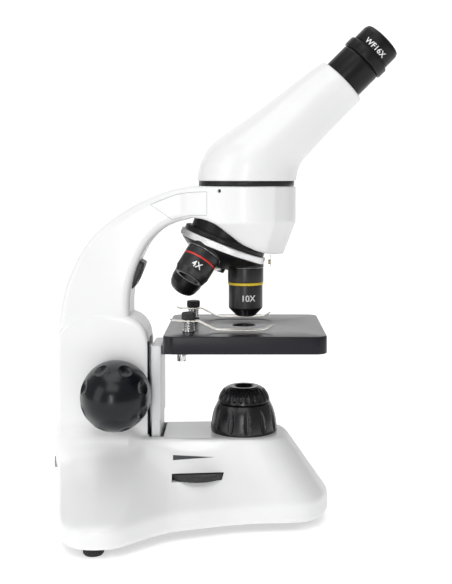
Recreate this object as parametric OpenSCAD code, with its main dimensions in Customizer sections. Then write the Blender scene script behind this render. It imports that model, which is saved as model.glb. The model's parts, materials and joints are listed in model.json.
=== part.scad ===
// Student microscope: 45 degree monocular head, triple nosepiece, rack and pinion stage,
// and LED lamps below and above the stage.
// The origin is on the table under the middle of the object. +X points to the user, +Z up.

/* [Base] */
// Height of the base's flat deck above the table
deck_z = 51.5; // [50:0.5:53]
// Height of the crease between the base's slopes and its skirt
crease_z = 16.5; // [15:0.5:18]
// Height of the rubber feet below the skirt
foot_h = 5.5; // [4:0.5:6.5]
// Diameter of each rubber foot
foot_d = 12; // [10:0.5:14]
// Wall thickness of the mouldings
wall = 3; // [2.5:0.1:3.2]

/* [Column and arm] */
// Width of the focusing column
column_w = 33; // [32:0.5:34]
// Width of the curved arm
arm_w = 31.4; // [30:0.2:32]

/* [Stage] */
// Side of the square stage
stage_w = 90; // [86:1:92]
// Thickness of the stage
stage_t = 9.8; // [9:0.2:10.2]
// Height of the stage's top face above the table
stage_top = 113.5; // [113:0.1:113.8]
// Corner radius of the stage
stage_corner = 6; // [4:0.5:8]
// Diameter of the hole that light comes through
aperture_d = 13; // [12:0.5:14]

/* [Focusing] */
// Height of the focusing shaft above the table
shaft_z = 77.5; // [76:0.5:79]
// Largest diameter of a focusing knob
knob_d = 39.6; // [37:0.2:42]
// Number of pinion teeth
pinion_teeth = 12; // [12:1:12]
// Tooth module of the pinion and rack
gear_module = 0.8; // [0.8:0.1:0.8]

/* [Nosepiece] */
// Lean of the turret's axis, and of each objective from that axis
cone_angle = 21; // [20:0.5:22]
// Diameter of the knurled turret ring
turret_d = 52; // [51:0.5:53]
// Distance from the apex of the turret's cone to an objective's seat
seat_s = 47.5; // [47:0.1:48]

/* [Head] */
// Diameter of the eyepiece barrel, the standard size
barrel_d = 23.2; // [23.2:0.1:23.2]
// Diameter of the eyepiece's top
eyepiece_d = 25; // [24:0.2:26]

/* [Hidden] */
$fn = 64;
eps = 0.01;

// Everything below is drawn from the objective in use, whose axis is at x = 0.
rear_x = -111.2;    // back of the power jack
tube_x = 57;        // centre of the head's tube end
tube_z = 256.15;
eyepiece_top = 33.8;    // eyepiece's top, along the tube from its end
eyepiece_round = 1.6;
front_x = tube_x + (eyepiece_top - 2 * eyepiece_round + eyepiece_d / 2) / sqrt(2) + eyepiece_round;
axis_x = -(rear_x + front_x) / 2;
fit = 0.05;         // radial clearance of running fits
gap = 0.3;          // clearance between faces that slide past each other

column_front = -54.5;
column_rear = -107.5;
bracket_x = -53.1;
bracket_t = 5.7;
stage_low = stage_top - stage_t;
stage_x = 0.6;      // centre of the stage
shaft_x = -72;
pitch_r = gear_module * pinion_teeth / 2;
rack_x = shaft_x + pitch_r;
knob_y = 17.5;      // inner face of a knob

apex_x = 1;
apex_z = 195;       // apex of the turret's cone, and top of the arm
housing_x = 1.5;
housing_r = 29;
base_disc_s = 26;   // distances from the apex, along the turret's axis
rim_s = 31.8;       // where the fixed disc's rim starts
turret_s = 35.1;
turret_r = turret_d / 2;
objective_turns = [120, 0, -120];

head_z = 198;       // underside of the head
sleeve_l = 16;
flange_l = 6.2;
barrel_r = barrel_d / 2;

// ---- helpers ----

function arc(cx, cy, r, a, b, n) =
    [for (i = [0 : n]) let (t = a + (b - a) * i / n) [cx + r * cos(t), cy + r * sin(t)]];

// Smooth curve through a row of points, with n steps between each two
function smooth(p, n) = let (m = len(p) - 1) concat(
    [for (i = [0 : m - 1], j = [0 : n - 1]) let (
        a = p[max(i - 1, 0)], b = p[i], c = p[i + 1], d = p[min(i + 2, m)], t = j / n)
        0.5 * (2 * b + (c - a) * t + (2 * a - 5 * b + 4 * c - d) * t * t
            + (3 * b - a - 3 * c + d) * t * t * t)],
    [p[m]]);

// A half outline from rear to front, and its mirror image: the whole, anticlockwise
function both_sides(half) = concat(
    [for (p = half) [p[0], -p[1]]],
    [for (i = [len(half) - 1 : -1 : 0]) half[i]]);

// A closed anticlockwise outline moved inwards by d
function inset(p, d) = let (n = len(p)) [for (i = [0 : n - 1]) let (
    a = p[(i + n - 1) % n], c = p[(i + 1) % n], v = c - a)
    p[i] + d * [-v[1], v[0]] / norm(v)];

function at_height(p, z) = [for (q = p) [q[0], q[1], z]];

// Closed skin through rings that have the same number of points
module loft(rings) {
    n = len(rings[0]);
    m = len(rings);
    polyhedron(
        points = [for (r = rings) each r],
        faces = concat(
            [[for (i = [0 : n - 1]) i]],
            [[for (i = [n - 1 : -1 : 0]) (m - 1) * n + i]],
            [for (k = [0 : m - 2], i = [0 : n - 1]) let (j = (i + 1) % n)
                each [[k * n + i, k * n + n + i, k * n + n + j], [k * n + i, k * n + n + j, k * n + j]]]));
}

module at_axis() {
    translate([axis_x, 0, 0]) children();
}

// Side outline, drawn in x and z, made w wide about the middle plane
module side_extrude(w) {
    translate([0, w / 2, 0]) rotate([90, 0, 0]) linear_extrude(w) children();
}

module rounded_square(x, y, r) {
    square([x - 2 * r, y], center = true);
    square([x, y - 2 * r], center = true);
    for (i = [-1, 1], j = [-1, 1])
        translate([i * (x / 2 - r), j * (y / 2 - r)]) circle(r);
}

module box(x0, x1, y0, y1, z0, z1) {
    translate([x0, y0, z0]) cube([x1 - x0, y1 - y0, z1 - z0]);
}

module mirror_y() {
    children();
    mirror([0, 1, 0]) children();
}

// z runs down the turret's axis from the apex
module along_turret() {
    translate([apex_x, 0, apex_z]) rotate([0, 180 + cone_angle, 0]) children();
}

// z runs down an objective's axis from the apex
module along_objective(turn) {
    along_turret() rotate([0, 0, turn]) rotate([0, -cone_angle, 0]) children();
}

// z runs up the eyepiece tube from its end face
module along_tube() {
    translate([tube_x, 0, tube_z]) rotate([0, 45, 0]) children();
}

// z runs along the focusing shaft, from the middle plane to one side
module along_shaft(side) {
    translate([shaft_x, 0, shaft_z]) rotate([-90 * side, 0, 0]) children();
}

module tube(r, bore, z0, z1) {
    translate([0, 0, z0]) difference() {
        cylinder(r = r, h = z1 - z0);
        translate([0, 0, -1]) cylinder(r = bore, h = z1 - z0 + 2);
    }
}

// ---- base ----

crease_half = [[-106, 22], [-102.5, 42], [-98, 57], [-92.4, 65.8], [-85, 70.3], [-73, 70.5], [-64, 66.6],
    [-56, 58.4], [-41.6, 45.8], [-24.2, 39.2], [-6.4, 33.4], [10.4, 30.6], [28.6, 29.4], [38.2, 25.8],
    [45, 17.4], [48.6, 6]];
deck_half = [[-107.5, 8], [-106, 15], [-98, 18.4], [-88, 18.8], [-78, 19], [-68, 19.2], [-60, 19.5],
    [-54, 19.9], [-44, 20.6], [-30, 21.2], [-14, 21.8], [-2, 22], [8, 21.8], [16.5, 18.4],
    [22.3, 11.4], [24.4, 3]];

// Outline of the base at a height: the skirt is upright, the slopes flare out to it
function base_half(z) = let (
    t = max(0, (z - crease_z) / (deck_z - crease_z)),
    e = 1 - pow(1 - t, 1.6),
    spread = z < crease_z ? 0.8 * (crease_z - z) / (crease_z - foot_h) : 0)
    [for (i = [0 : len(crease_half) - 1]) [
        crease_half[i][0] * (1 - t) + deck_half[i][0] * t,
        crease_half[i][1] * (1 - e) + deck_half[i][1] * e + spread]];
function base_ring(z, d) = at_height(inset(both_sides(base_half(z)), d), z);

module base_solid(d, z0, z1) {
    levels = [z0, crease_z, 20, 25, 31, 38, 45, z1];
    loft([for (z = levels) base_ring(z, d)]);
}

module plate_places() {
    mirror_y() for (p = [[35.7, 18.5], [-70, 62.4]]) translate([p[0], p[1], 0]) children();
}

plate_z = foot_h + 2.2;

module base_casting() {
    slot_z = wheel_at[2];
    color("white") at_axis() {
        difference() {
            base_solid(0, foot_h, deck_z);
            base_solid(wall, foot_h - eps, deck_z - wall);
            // hollow of the column, and the pocket that the bracket sinks into
            box(column_rear + wall + 4, -46.2, -13.4, 13.4, deck_z - 6, deck_z + 1);
            box(column_front, -46.2, -16.6, 16.6, deck_z - 5, deck_z + 1);
            translate([0, 0, deck_z - 10]) cylinder(r = 9, h = 20);
            // slot that the brightness wheel stands out of, and room for its rim inside
            box(-40.5, -12.5, -45, -20, slot_z - 2, slot_z + 2);
            translate([wheel_at[0], wheel_at[1], slot_z - 2]) cylinder(r = wheel_r + gap, h = 4);
            translate([-120, 0, 32.5]) rotate([0, 90, 0]) cylinder(r = 3.6, h = 20);
        }
        plate_places() tube(4.5, 1.6, plate_z, 15);
    }
}

module door_outline(grow) {
    translate([-7, 0]) rounded_square(52 + grow, 44 + grow, 4);
}

module base_plate() {
    color("dimgray") at_axis() difference() {
        translate([0, 0, foot_h]) linear_extrude(plate_z - foot_h)
            polygon([for (p = base_ring(foot_h, wall + gap)) [p[0], p[1]]]);
        translate([0, 0, foot_h - 1]) linear_extrude(5) door_outline(0.6);
        plate_places() translate([0, 0, foot_h - 1]) cylinder(r = 1.8, h = 5);
    }
}

module battery_door() {
    color("dimgray") at_axis() translate([0, 0, foot_h]) linear_extrude(plate_z - foot_h) door_outline(0);
}

module battery_holder() {
    color([0.12, 0.12, 0.13]) at_axis() difference() {
        box(-34, 20, -23.5, 23.5, plate_z + 0.8, 25);
        box(-32.4, 18.4, -22, 22, plate_z, plate_z + 8);
        for (y = [-14.7, 0, 14.7])
            translate([-32.4, y, plate_z + 8]) rotate([0, 90, 0]) cylinder(r = 7.3, h = 50.8);
    }
}

module foot_places() {
    for (p = [[37, 0], [-80, 60], [-80, -60]]) translate([p[0], p[1], 0]) children();
}

module rubber_feet() {
    color([0.08, 0.08, 0.08]) at_axis() foot_places() rotate_extrude()
        polygon([[0, 0], [foot_d / 2 - 1.2, 0], [foot_d / 2 - 0.4, 1], [foot_d / 2, foot_h], [0, foot_h]]);
}

module plate_screws() {
    color("silver") at_axis() plate_places() {
        translate([0, 0, foot_h - 1.6]) cylinder(r = 3, h = 1.6);
        translate([0, 0, foot_h]) cylinder(r = 1.5, h = 9);
    }
}

// ---- electrics in the base ----

wheel_r = 17;
wheel_at = [-26.5, -17.5, 31.6];
jack_z = 32.5;

module control_board() {
    color("darkgreen") at_axis() difference() {
        box(-40, 4, -20, 20, 38.8, 40.4);
        translate([wheel_at[0], wheel_at[1], 30]) cylinder(r = 1.8, h = 20);
    }
}

module dimmer_pot() {
    color("steelblue") at_axis() translate([wheel_at[0], wheel_at[1], 0]) {
        translate([0, 0, 34.6]) cylinder(r = 4.2, h = 4.2);
        translate([0, 0, 29.6]) cylinder(r = 1.7, h = 5);
    }
}

module brightness_wheel() {
    color([0.1, 0.1, 0.11]) at_axis() translate(wheel_at) difference() {
        translate([0, 0, -1.5]) cylinder(r = wheel_r, h = 3);
        translate([0, 0, -3]) cylinder(r = 1.7 + fit, h = 6);
        for (i = [0 : 59]) rotate([0, 0, 6 * i]) translate([wheel_r + 0.3, 0, -3]) cylinder(r = 0.6, h = 6);
    }
}

module dc_jack() {
    color("silver") at_axis() translate([rear_x, 0, jack_z]) rotate([0, 90, 0]) difference() {
        union() {
            cylinder(r = 3.5, h = 14);
            translate([0, 0, 9]) cylinder(r = 5.2, h = 4);
        }
        translate([0, 0, -1]) tube(2.75, 0.9, 0, 11);
    }
}

module led_module() {
    color("silver") at_axis() {
        translate([0, 0, deck_z - wall - 5]) cylinder(r = 12, h = 5);
        translate([0, 0, deck_z - wall]) cylinder(r = 3, h = 2.4);
    }
}

// ---- illuminator ----

seam_h = 16.8;
cap_h = 26;

module illuminator_shell() {
    color([0.07, 0.07, 0.08]) at_axis() translate([0, 0, deck_z]) difference() {
        rotate_extrude() polygon(concat(
            smooth([[19.2, 0], [19.3, 2.5], [18.6, 8], [17.4, 12.6], [15.7, seam_h]], 4),
            [[12.6, seam_h], [12.6, seam_h - 3], [14, seam_h - 3], [16, 3], [16, 0]]));
        for (i = [0 : 11]) rotate([0, 0, 30 * i + 6])
            translate([19.9, 0, 7.4]) rotate([0, -9, 0]) rotate_extrude()
                polygon(smooth([[0, -5.6], [1.3, -4], [1.9, 0], [1.3, 4], [0, 5.6]], 3));
    }
}

module illuminator_ring() {
    color([0.07, 0.07, 0.08]) at_axis() translate([0, 0, deck_z]) difference() {
        rotate_extrude() polygon(concat(
            [[5, seam_h + gap], [15.5, seam_h + gap]],
            smooth([[15.2, 18.4], [14.2, 21], [12.6, 23.4], [10.4, 25.2]], 3),
            [[8.9, cap_h], [6.2, cap_h], [4.7, cap_h - 1.2], [4.7, cap_h - 2.4], [5, cap_h - 2.4]]));
        for (i = [0 : 23]) rotate([0, 0, 15 * i])
            translate([14.9, 0, 21.2]) rotate([0, -37, 0]) cylinder(r = 0.75, h = 5.4, center = true);
        translate([0, 0, seam_h]) cylinder(r = 9, h = 4);
    }
}

module collector_lens() {
    color([0.8, 0.9, 1, 0.5]) at_axis() translate([0, 0, deck_z + cap_h - 5.2]) {
        cylinder(r = 4.95, h = 2.7);
    }
}

// ---- column and arm ----

shoulder = smooth([[column_front, 104], [-56, 112], [-60, 117.5], [-66, 120.6], [-78, 122.3],
    [-90, 121.6], [-100, 118], [-106.6, 111]], 4);
arm_outer = smooth([[-25.7, 195], [-34.3, 194.6], [-47.6, 191.2], [-68.2, 181.4], [-88.8, 164.3],
    [-101.7, 140], [-106.3, 119], [-106.6, 111]], 5);
arm_inner = smooth([[-65.1, 118], [-65.1, 129.6], [-63.4, 141.4], [-59.2, 153.2], [-53, 163.7],
    [-43.5, 171.8], [-29.3, 177]], 5);

module column_outline() {
    polygon(concat([[column_rear, deck_z], [column_front, deck_z]], shoulder, [[column_rear, 100]]));
}

module column_casting() {
    color("white") at_axis() difference() {
        side_extrude(column_w) column_outline();
        difference() {
            side_extrude(column_w - 2 * wall) offset(delta = -wall) column_outline();
            box(column_rear - 1, column_front + 1, -20, 20, 0, deck_z - 1);
        }
        box(column_rear + wall, column_front - wall, wall - column_w / 2, column_w / 2 - wall, deck_z - 1, 60);
        // slot that the carriage's neck runs in
        box(column_front - 5, column_front + 1, -6.3, 6.3, deck_z - 1, 107);
        translate([shaft_x, 0, shaft_z]) rotate([90, 0, 0]) cylinder(r = 5, h = 60, center = true);
        // way for the lamp's wires up into the arm
        box(-98, -72, -8, 8, 110, 130);
    }
}

module arm_outline() {
    difference() {
        polygon(concat([[housing_x, 195], [-25.7, 195]], arm_outer, arm_inner, [[housing_x, 177]]));
        column_outline();
    }
}

module bezel_outline() {
    polygon([[-60.5, 152], [-57.5, 150.5], [-58.1, 147.8], [-62.9, 137], [-64.4, 135.6], [-67, 136],
        [-67, 144], [-64, 151]]);
}

// Space below the plane that the nosepiece is screwed to
module below_nosepiece_plane() {
    along_turret() translate([-60, -60, rim_s]) cube([120, 120, 60]);
}

module arm_casting() {
    color("white") at_axis() difference() {
        union() {
            side_extrude(arm_w) arm_outline();
            difference() {
                translate([housing_x, 0, 0]) rotate_extrude() polygon([[0, 150], [20.4, 150],
                    [housing_r, 174.5], [housing_r, apex_z - 1], [housing_r - 1, apex_z], [0, apex_z]]);
                below_nosepiece_plane();
            }
        }
        // seat of the nosepiece's fixed disc, and the slot of the detent spring
        along_turret() {
            translate([0, 0, base_disc_s]) cylinder(r = 21.3 + gap, h = 8);
            translate([0, 0, rim_s]) cylinder(r = 25, h = 8);
        }
        box(spring_x, spring_x + 0.5, -3, 3, 140, 157);
        // hollow of the arm, open to the column
        side_extrude(arm_w - 2 * wall) difference() {
            offset(delta = -wall) arm_outline();
            translate([-27, 150]) square(80);
        }
        box(-100, -72, -8, 8, 112, 130);
        // seat of the head's flange, and the way for the light
        translate([housing_x, 0, 187]) cylinder(r = 22, h = 10);
        translate([0, 0, 140]) cylinder(r = 9, h = 60);
        along_turret() translate([0, 0, 20]) cylinder(r = 4, h = 20);
        side_extrude(18.2) bezel_outline();
        translate([housing_x, 0, 192.4]) rotate([0, 0, screw_turn]) rotate([0, 90, 0])
            translate([0, 0, 20]) cylinder(r = 1.1, h = 12);
    }
}

lamp_tilt = 111.8;

module lamp_bezel() {
    color([0.06, 0.06, 0.07]) at_axis() difference() {
        side_extrude(18) bezel_outline();
        translate([-60.6, 0, 143.8]) rotate([0, lamp_tilt, 0]) cylinder(r = 3.6, h = 20, center = true);
    }
}

module lamp_lens() {
    color([0.95, 0.95, 0.85, 0.6]) at_axis() translate([-60.6, 0, 143.8]) rotate([0, lamp_tilt, 0])
        translate([0, 0, -3]) cylinder(r = 3.55, h = 3);
}

module lamp_board() {
    color("darkgreen") at_axis() translate([-60.6, 0, 143.8]) rotate([0, lamp_tilt, 0])
        translate([-4, -7, -9.6]) cube([8, 14, 1.6]);
}

// ---- focusing ----

rail_low = 53;
rail_top = 103;

module guide_rails() {
    color("silver") at_axis() mirror_y()
        box(column_front - wall - 4.6, column_front - wall, 9.3, 13, rail_low, rail_top);
}

module stage_carriage() {
    color("gray") at_axis() {
        box(column_front - wall - 4.5, column_front - wall - gap, -9, 9, 54, 102);
        box(column_front - wall - gap, bracket_x, -6, 6, 54, 102);
    }
}

module focus_rack() {
    count = 18;
    pitch = PI * gear_module;
    back = column_front - wall - 4.5;
    tip = rack_x - 0.7;
    root = rack_x + 1;
    color("goldenrod") at_axis() side_extrude(8) polygon(concat(
        [[back, shaft_z + (count / 2 + 0.5) * pitch], [back, shaft_z - (count / 2 + 0.5) * pitch],
            [root, shaft_z - (count / 2 + 0.5) * pitch]],
        [for (i = [-count / 2 : count / 2], p = [[root, -0.36], [tip, -0.13], [tip, 0.13], [root, 0.36]])
            [p[0], shaft_z + (i + p[1]) * pitch]],
        [[root, shaft_z + (count / 2 + 0.5) * pitch]]));
}

module stage_bracket() {
    color("whitesmoke") at_axis() {
        box(bracket_x, bracket_x + bracket_t, -16.2, 16.2, 61, stage_low - 0.2);
        box(bracket_x, bracket_x + bracket_t - 0.6, -15.4, 15.4, 40, 61);
    }
}

module focus_shaft() {
    color("silver") at_axis() along_shaft(1) cylinder(r = 2.5, h = 83, center = true);
}

module focus_pinion() {
    step = 360 / pinion_teeth;
    tip = pitch_r + 0.7;
    root = pitch_r - 1;
    color("goldenrod") at_axis() translate([shaft_x, 0, shaft_z]) rotate([90, 0, 0]) difference() {
        linear_extrude(9, center = true) polygon([
            for (i = [0 : pinion_teeth - 1], p = [[root, -0.3], [tip, -0.11], [tip, 0.11], [root, 0.3]])
                let (a = (i + 0.5 + p[1]) * step) p[0] * [cos(a), sin(a)]]);
        cylinder(r = 2.5, h = 20, center = true);
    }
}

module focus_knob(side) {
    r = knob_d / 2;
    dome = 27;
    length = 25;
    color([0.06, 0.06, 0.07]) at_axis() along_shaft(side) difference() {
        rotate_extrude() polygon(concat(
            [[0, knob_y], [14.5, knob_y]],
            smooth([[16.2, 18.2], [18.6, 21.4], [r - 0.1, 25], [r, dome]], 3),
            [for (i = [1 : 17]) let (a = i * 90 / 18) [r * pow(cos(a), 0.9), dome + length * sin(a)]],
            [[0, dome + length]]));
        translate([0, 0, knob_y - 1]) cylinder(r = 2.5, h = 25);
        for (i = [0 : 7]) rotate([0, 0, 45 * i + 22])
            translate([r + 1.9, 0, 40.5]) sphere(5.8);
    }
}

module focus_knob_left() {
    focus_knob(-1);
}

module focus_knob_right() {
    focus_knob(1);
}

module shaft_bushes() {
    color("goldenrod") at_axis() for (side = [-1, 1]) along_shaft(side) {
        tube(5, 2.5 + fit, column_w / 2 - wall, column_w / 2);
        tube(7, 2.5 + fit, column_w / 2 - wall - 1.5, column_w / 2 - wall);
    }
}

// ---- stage ----

pivot = [14, 11];
disc_r = 26;
hole_r = norm(pivot);

module stage_plate() {
    color([0.16, 0.15, 0.18]) at_axis() difference() {
        union() {
            translate([stage_x, 0, stage_low]) linear_extrude(stage_t - 0.6)
                rounded_square(stage_w, stage_w, stage_corner);
            translate([stage_x, 0, stage_top - 0.6]) linear_extrude(0.6)
                rounded_square(stage_w - 1, stage_w - 1, stage_corner - 0.5);
        }
        translate([0, 0, stage_low - 1]) cylinder(r = aperture_d / 2, h = stage_t + 2);
        // recess of the diaphragm disc, and the hole of its screw
        translate([pivot[0], pivot[1], stage_low - 1]) cylinder(r = disc_r + 1, h = 4);
        translate([pivot[0], pivot[1], stage_low]) cylinder(r = 2, h = 6.5);
        for (y = [-27, 27]) translate([-31, y, stage_top - 5]) cylinder(r = 1.5, h = 6);
    }
}

module stage_shelf() {
    color([0.1, 0.1, 0.1]) at_axis() difference() {
        box(bracket_x + bracket_t, -29, -16, 16, stage_low - 5, stage_low);
        for (y = [-10, 10]) translate([-36, y, stage_low - 6]) cylinder(r = 1.5, h = 8);
    }
}

module stage_screws() {
    color("silver") at_axis() for (y = [-10, 10]) translate([-36, y, 0]) difference() {
        union() {
            translate([0, 0, stage_low - 9.7]) cylinder(r = 2.6, h = 4.7);
            translate([0, 0, stage_low - 5]) cylinder(r = 1.5, h = 5);
        }
        translate([0, 0, stage_low - 10]) cylinder(r = 1.3, h = 2.8, $fn = 6);
    }
}

module condenser_lens() {
    color([0.8, 0.9, 1, 0.5]) at_axis() intersection() {
        translate([0, 0, stage_low + 3.6]) cylinder(r = aperture_d / 2 - 0.05, h = 5);
        translate([0, 0, stage_low - 8]) sphere(15.6);
    }
}

module diaphragm_disc() {
    color([0.05, 0.05, 0.05]) at_axis() difference() {
        translate([pivot[0], pivot[1], stage_low + 0.8]) cylinder(r = disc_r, h = 1.4);
        translate([pivot[0], pivot[1], stage_low]) {
            cylinder(r = 1.6 + fit, h = 6);
            for (i = [0 : 5]) rotate([0, 0, 60 * i + atan2(-pivot[1], -pivot[0])])
                translate([hole_r, 0, 0]) cylinder(r = 5.5 - 0.8 * i, h = 6);
            for (i = [0 : 71]) rotate([0, 0, 5 * i]) translate([disc_r + 0.3, 0, 0]) cylinder(r = 0.7, h = 6);
        }
    }
}

module diaphragm_screw() {
    color("silver") at_axis() translate([pivot[0], pivot[1], stage_low]) {
        cylinder(r = 1.6, h = 3);
        translate([0, 0, 3]) cylinder(r = 1.95, h = 3.4);
        translate([0, 0, -1]) cylinder(r = 3.2, h = 1.5);
    }
}

clip_x = -31;
clip_y = 27;
clip_z = stage_top + 6;

// Spring strip: flat round its post, then down to the slide and up at its tip
module clip(side) {
    path = concat([[-10.5, 0.9], [-9, 0.3], [-6, 0]], [[4, 0]],
        smooth([[5, 0], [8.5, -1.6], [13.5, -4.1], [16.5, -4.9], [21, -5.1], [38, -5.1], [43, -4.5],
            [47.5, -2.4]], 3));
    color("silver") at_axis() translate([clip_x, side * clip_y, clip_z]) difference() {
        side_extrude(5) polygon(concat(path, [for (i = [len(path) - 1 : -1 : 0]) path[i] + [0, 0.6]]));
        translate([0, 0, -3]) cylinder(r = 1.5 + fit, h = 6);
    }
}

module clip_left() {
    clip(-1);
}

module clip_right() {
    clip(1);
}

module at_clips() {
    at_axis() for (side = [-1, 1]) translate([clip_x, side * clip_y, stage_top]) children();
}

module clip_posts() {
    color("silver") at_clips() {
        translate([0, 0, -4.5]) cylinder(r = 1.45, h = 4.5);
        cylinder(r = 1.5, h = 8);
        cylinder(r = 3.6, h = 1.2);
    }
}

module clip_caps() {
    color([0.07, 0.07, 0.07]) at_clips() difference() {
        translate([0, 0, 7]) cylinder(r = 4, h = 4);
        translate([0, 0, 6]) cylinder(r = 1.5, h = 2);
        for (i = [0 : 23]) rotate([0, 0, 15 * i]) translate([4.15, 0, 5]) cylinder(r = 0.35, h = 8);
    }
}

// Coil spring of round wire
module coil(r, wire, z0, z1, turns) {
    steps = 12 * turns;
    sides = 6;
    loft([for (k = [0 : steps]) let (a = 360 * turns * k / steps, z = z0 + (z1 - z0) * k / steps)
        [for (i = [0 : sides - 1]) let (b = -360 * i / sides, q = r + wire * cos(b))
            [q * cos(a), q * sin(a), z + wire * sin(b)]]]);
}

module clip_springs() {
    color("silver") at_clips() coil(3, 0.35, 1.6, 5.6, 3);
}

// ---- nosepiece ----

module nosepiece_base() {
    color([0.06, 0.06, 0.07]) at_axis() difference() {
        along_turret() rotate_extrude()
            polygon([[4, base_disc_s], [21.3, base_disc_s], [21.3, rim_s], [23.4, rim_s],
                [24.4, rim_s + 0.8], [24.7, turret_s - gap], [4, turret_s - gap]]);
        along_objective(0) cylinder(r = 7, h = 60);
    }
}

module nosepiece_turret() {
    color("silver") at_axis() difference() {
        union() {
            along_turret() rotate_extrude() polygon([[4 + fit, turret_s], [turret_r - 0.4, turret_s],
                [turret_r, turret_s + 0.4], [turret_r, turret_s + 3.6], [turret_r - 0.4, turret_s + 4],
                [turret_r - 1.4, turret_s + 4], [turret_r - 2.4, turret_s + 5.4], [9, 49.5], [4 + fit, 49.5]]);
            for (a = objective_turns) along_objective(a)
                translate([0, 0, 42.2]) cylinder(r = 10.6, h = seat_s - 42.2);
        }
        along_turret() for (i = [0 : 89]) rotate([0, 0, 4 * i])
            translate([turret_r + 0.25, 0, turret_s - 1]) cylinder(r = 0.6, h = 6);
        for (a = objective_turns) along_objective(a) {
            cylinder(r = 7, h = 60);
            translate([0, 0, 42.5]) cylinder(r = 9.65, h = 10);
            translate([0, 0, seat_s]) cylinder(r = 11, h = 12);
        }
    }
}

module nosepiece_screw() {
    color("silver") at_axis() along_turret() difference() {
        union() {
            translate([0, 0, 22]) cylinder(r = 3.95, h = 28);
            translate([0, 0, 49.8]) cylinder(r = 6.5, h = 2.4);
        }
        translate([-8, -0.6, 51.2]) cube([16, 1.2, 3]);
    }
}

spring_x = 15.4;

module detent_spring() {
    color("silver") at_axis() box(spring_x, spring_x + 0.5, -3, 3, 147.9, 157);
}

module detent_ball() {
    color("goldenrod") at_axis() translate([spring_x - 1.2, 0, 150.6]) rotate([0, 90, 0])
        cylinder(r = 1.3, h = 1.2);
}

bore_r = 3.8;

module objective(outer, turn, colour) {
    color(colour) at_axis() along_objective(turn) rotate_extrude()
        polygon(concat([[bore_r, 43], [9.6, 43], [9.6, seat_s]], outer));
}

module band(turn, z0, z1, r, colour) {
    color(colour) at_axis() along_objective(turn) tube(r, r - 0.9, z0, z1);
}

low_ring = seat_s + 4.6;
mid_ring = seat_s + 8.6;
high_ring = seat_s + 8.6;
band_h = 1.6;

module objective_low() {
    objective([[9.6, seat_s], [10, seat_s + 0.4], [10, low_ring], [9.1, low_ring], [9.1, low_ring + band_h],
        [10, low_ring + band_h], [10, seat_s + 13.2], [8.8, seat_s + 16.4], [8.2, seat_s + 16.9],
        [6.5, seat_s + 16.9], [5, seat_s + 14.2], [5, seat_s + 12.4], [bore_r, seat_s + 12.4]],
        objective_turns[0], [0.1, 0.1, 0.11]);
}

module objective_mid() {
    objective([[10, seat_s], [10.45, seat_s + 0.4], [10.45, mid_ring], [9.5, mid_ring],
        [9.5, mid_ring + band_h], [9.95, mid_ring + band_h], [9.95, 71], [9.6, 71.6], [5.6, 75.8],
        [5, 76], [3.4, 76], [3.4, 74.5], [bore_r, 74.5]],
        objective_turns[1], [0.1, 0.1, 0.11]);
}

module objective_high() {
    objective([[9.4, seat_s], [9.75, seat_s + 0.4], [9.75, high_ring], [8.8, high_ring],
        [8.8, high_ring + band_h], [9.5, high_ring + band_h], [9.5, 71.8], [9.2, 73], [8.7, 75.4],
        [7.6, 77.4], [6, 78.4], [4.6, 78.6], [1.8, 78.6], [1.8, 77.4], [bore_r, 77.4]],
        objective_turns[2], [0.1, 0.1, 0.11]);
}

// The front lens of each objective
module objective_lenses() {
    color([0.8, 0.9, 1, 0.5]) at_axis() {
        along_objective(objective_turns[0]) translate([0, 0, seat_s + 12.4]) cylinder(r = 5 - fit, h = 1.5);
        along_objective(objective_turns[1]) translate([0, 0, 73]) cylinder(r = bore_r - fit, h = 1.5);
        along_objective(objective_turns[2]) translate([0, 0, 75.9]) cylinder(r = bore_r - fit, h = 1.5);
    }
}

module ring_low() {
    band(objective_turns[0], low_ring, low_ring + band_h, 10, "red");
}

module ring_mid() {
    band(objective_turns[1], mid_ring, mid_ring + band_h, 10.4, "gold");
}

module ring_high() {
    band(objective_turns[2], high_ring, high_ring + band_h, 9.7, "dodgerblue");
}

// ---- head ----

screw_turn = 180 + 58.8;

module head_ring() {
    color([0.06, 0.06, 0.07]) at_axis() translate([housing_x, 0, 0]) {
        tube(27.9, 14, 195.2, head_z);
        tube(22 - fit, 14, 189, 195.2);
    }
}

prism_w = 20;

// The head's sections: rear and front ends in x and z, then half the width
head_sections = [
    [-27.3, 198, 30.3, 198, 28.8], [-26.4, 204, 31.2, 202.6, 28.7], [-24.4, 210.4, 32.4, 206.6, 28.2],
    [-19.2, 218.8, 34.9, 210.6, 26.9], [-11, 225.4, 38.9, 214.8, 25], [2, 234.4, 45, 221.6, 22.4],
    [16.2, 245, 52.6, 229.4, 19.6], [32.6, 257.6, 60.8, 237.8, 17], [45.9, 267.2, 68.1, 245, 15.7]];

function head_ring_points(s) = let (
    middle = [s[0] + s[2], s[1] + s[3]] / 2,
    half = [s[2] - s[0], s[3] - s[1]] / 2)
    [for (a = [0 : 10 : 350]) [middle[0] + half[0] * cos(a), s[4] * sin(a), middle[1] + half[1] * cos(a)]];

module head_housing() {
    color("white") at_axis() difference() {
        loft([for (s = smooth(head_sections, 2)) head_ring_points(s)]);
        along_tube() translate([0, 0, -61]) cylinder(r = 12.9, h = 75);
        translate([housing_x, 0, head_z - 1]) cylinder(r = 24, h = 11);
        // seat of the prism, which is held by its two sides
        side_extrude(prism_w) offset(delta = gap) prism_outline();
    }
}

module prism_outline() {
    polygon([[-10, 199], [12, 199], [20, 207], [4.4, 222.6], [-10, 208.5]]);
}

module prism() {
    color([0.8, 0.9, 1, 0.5]) at_axis() side_extrude(prism_w) prism_outline();
}

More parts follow.
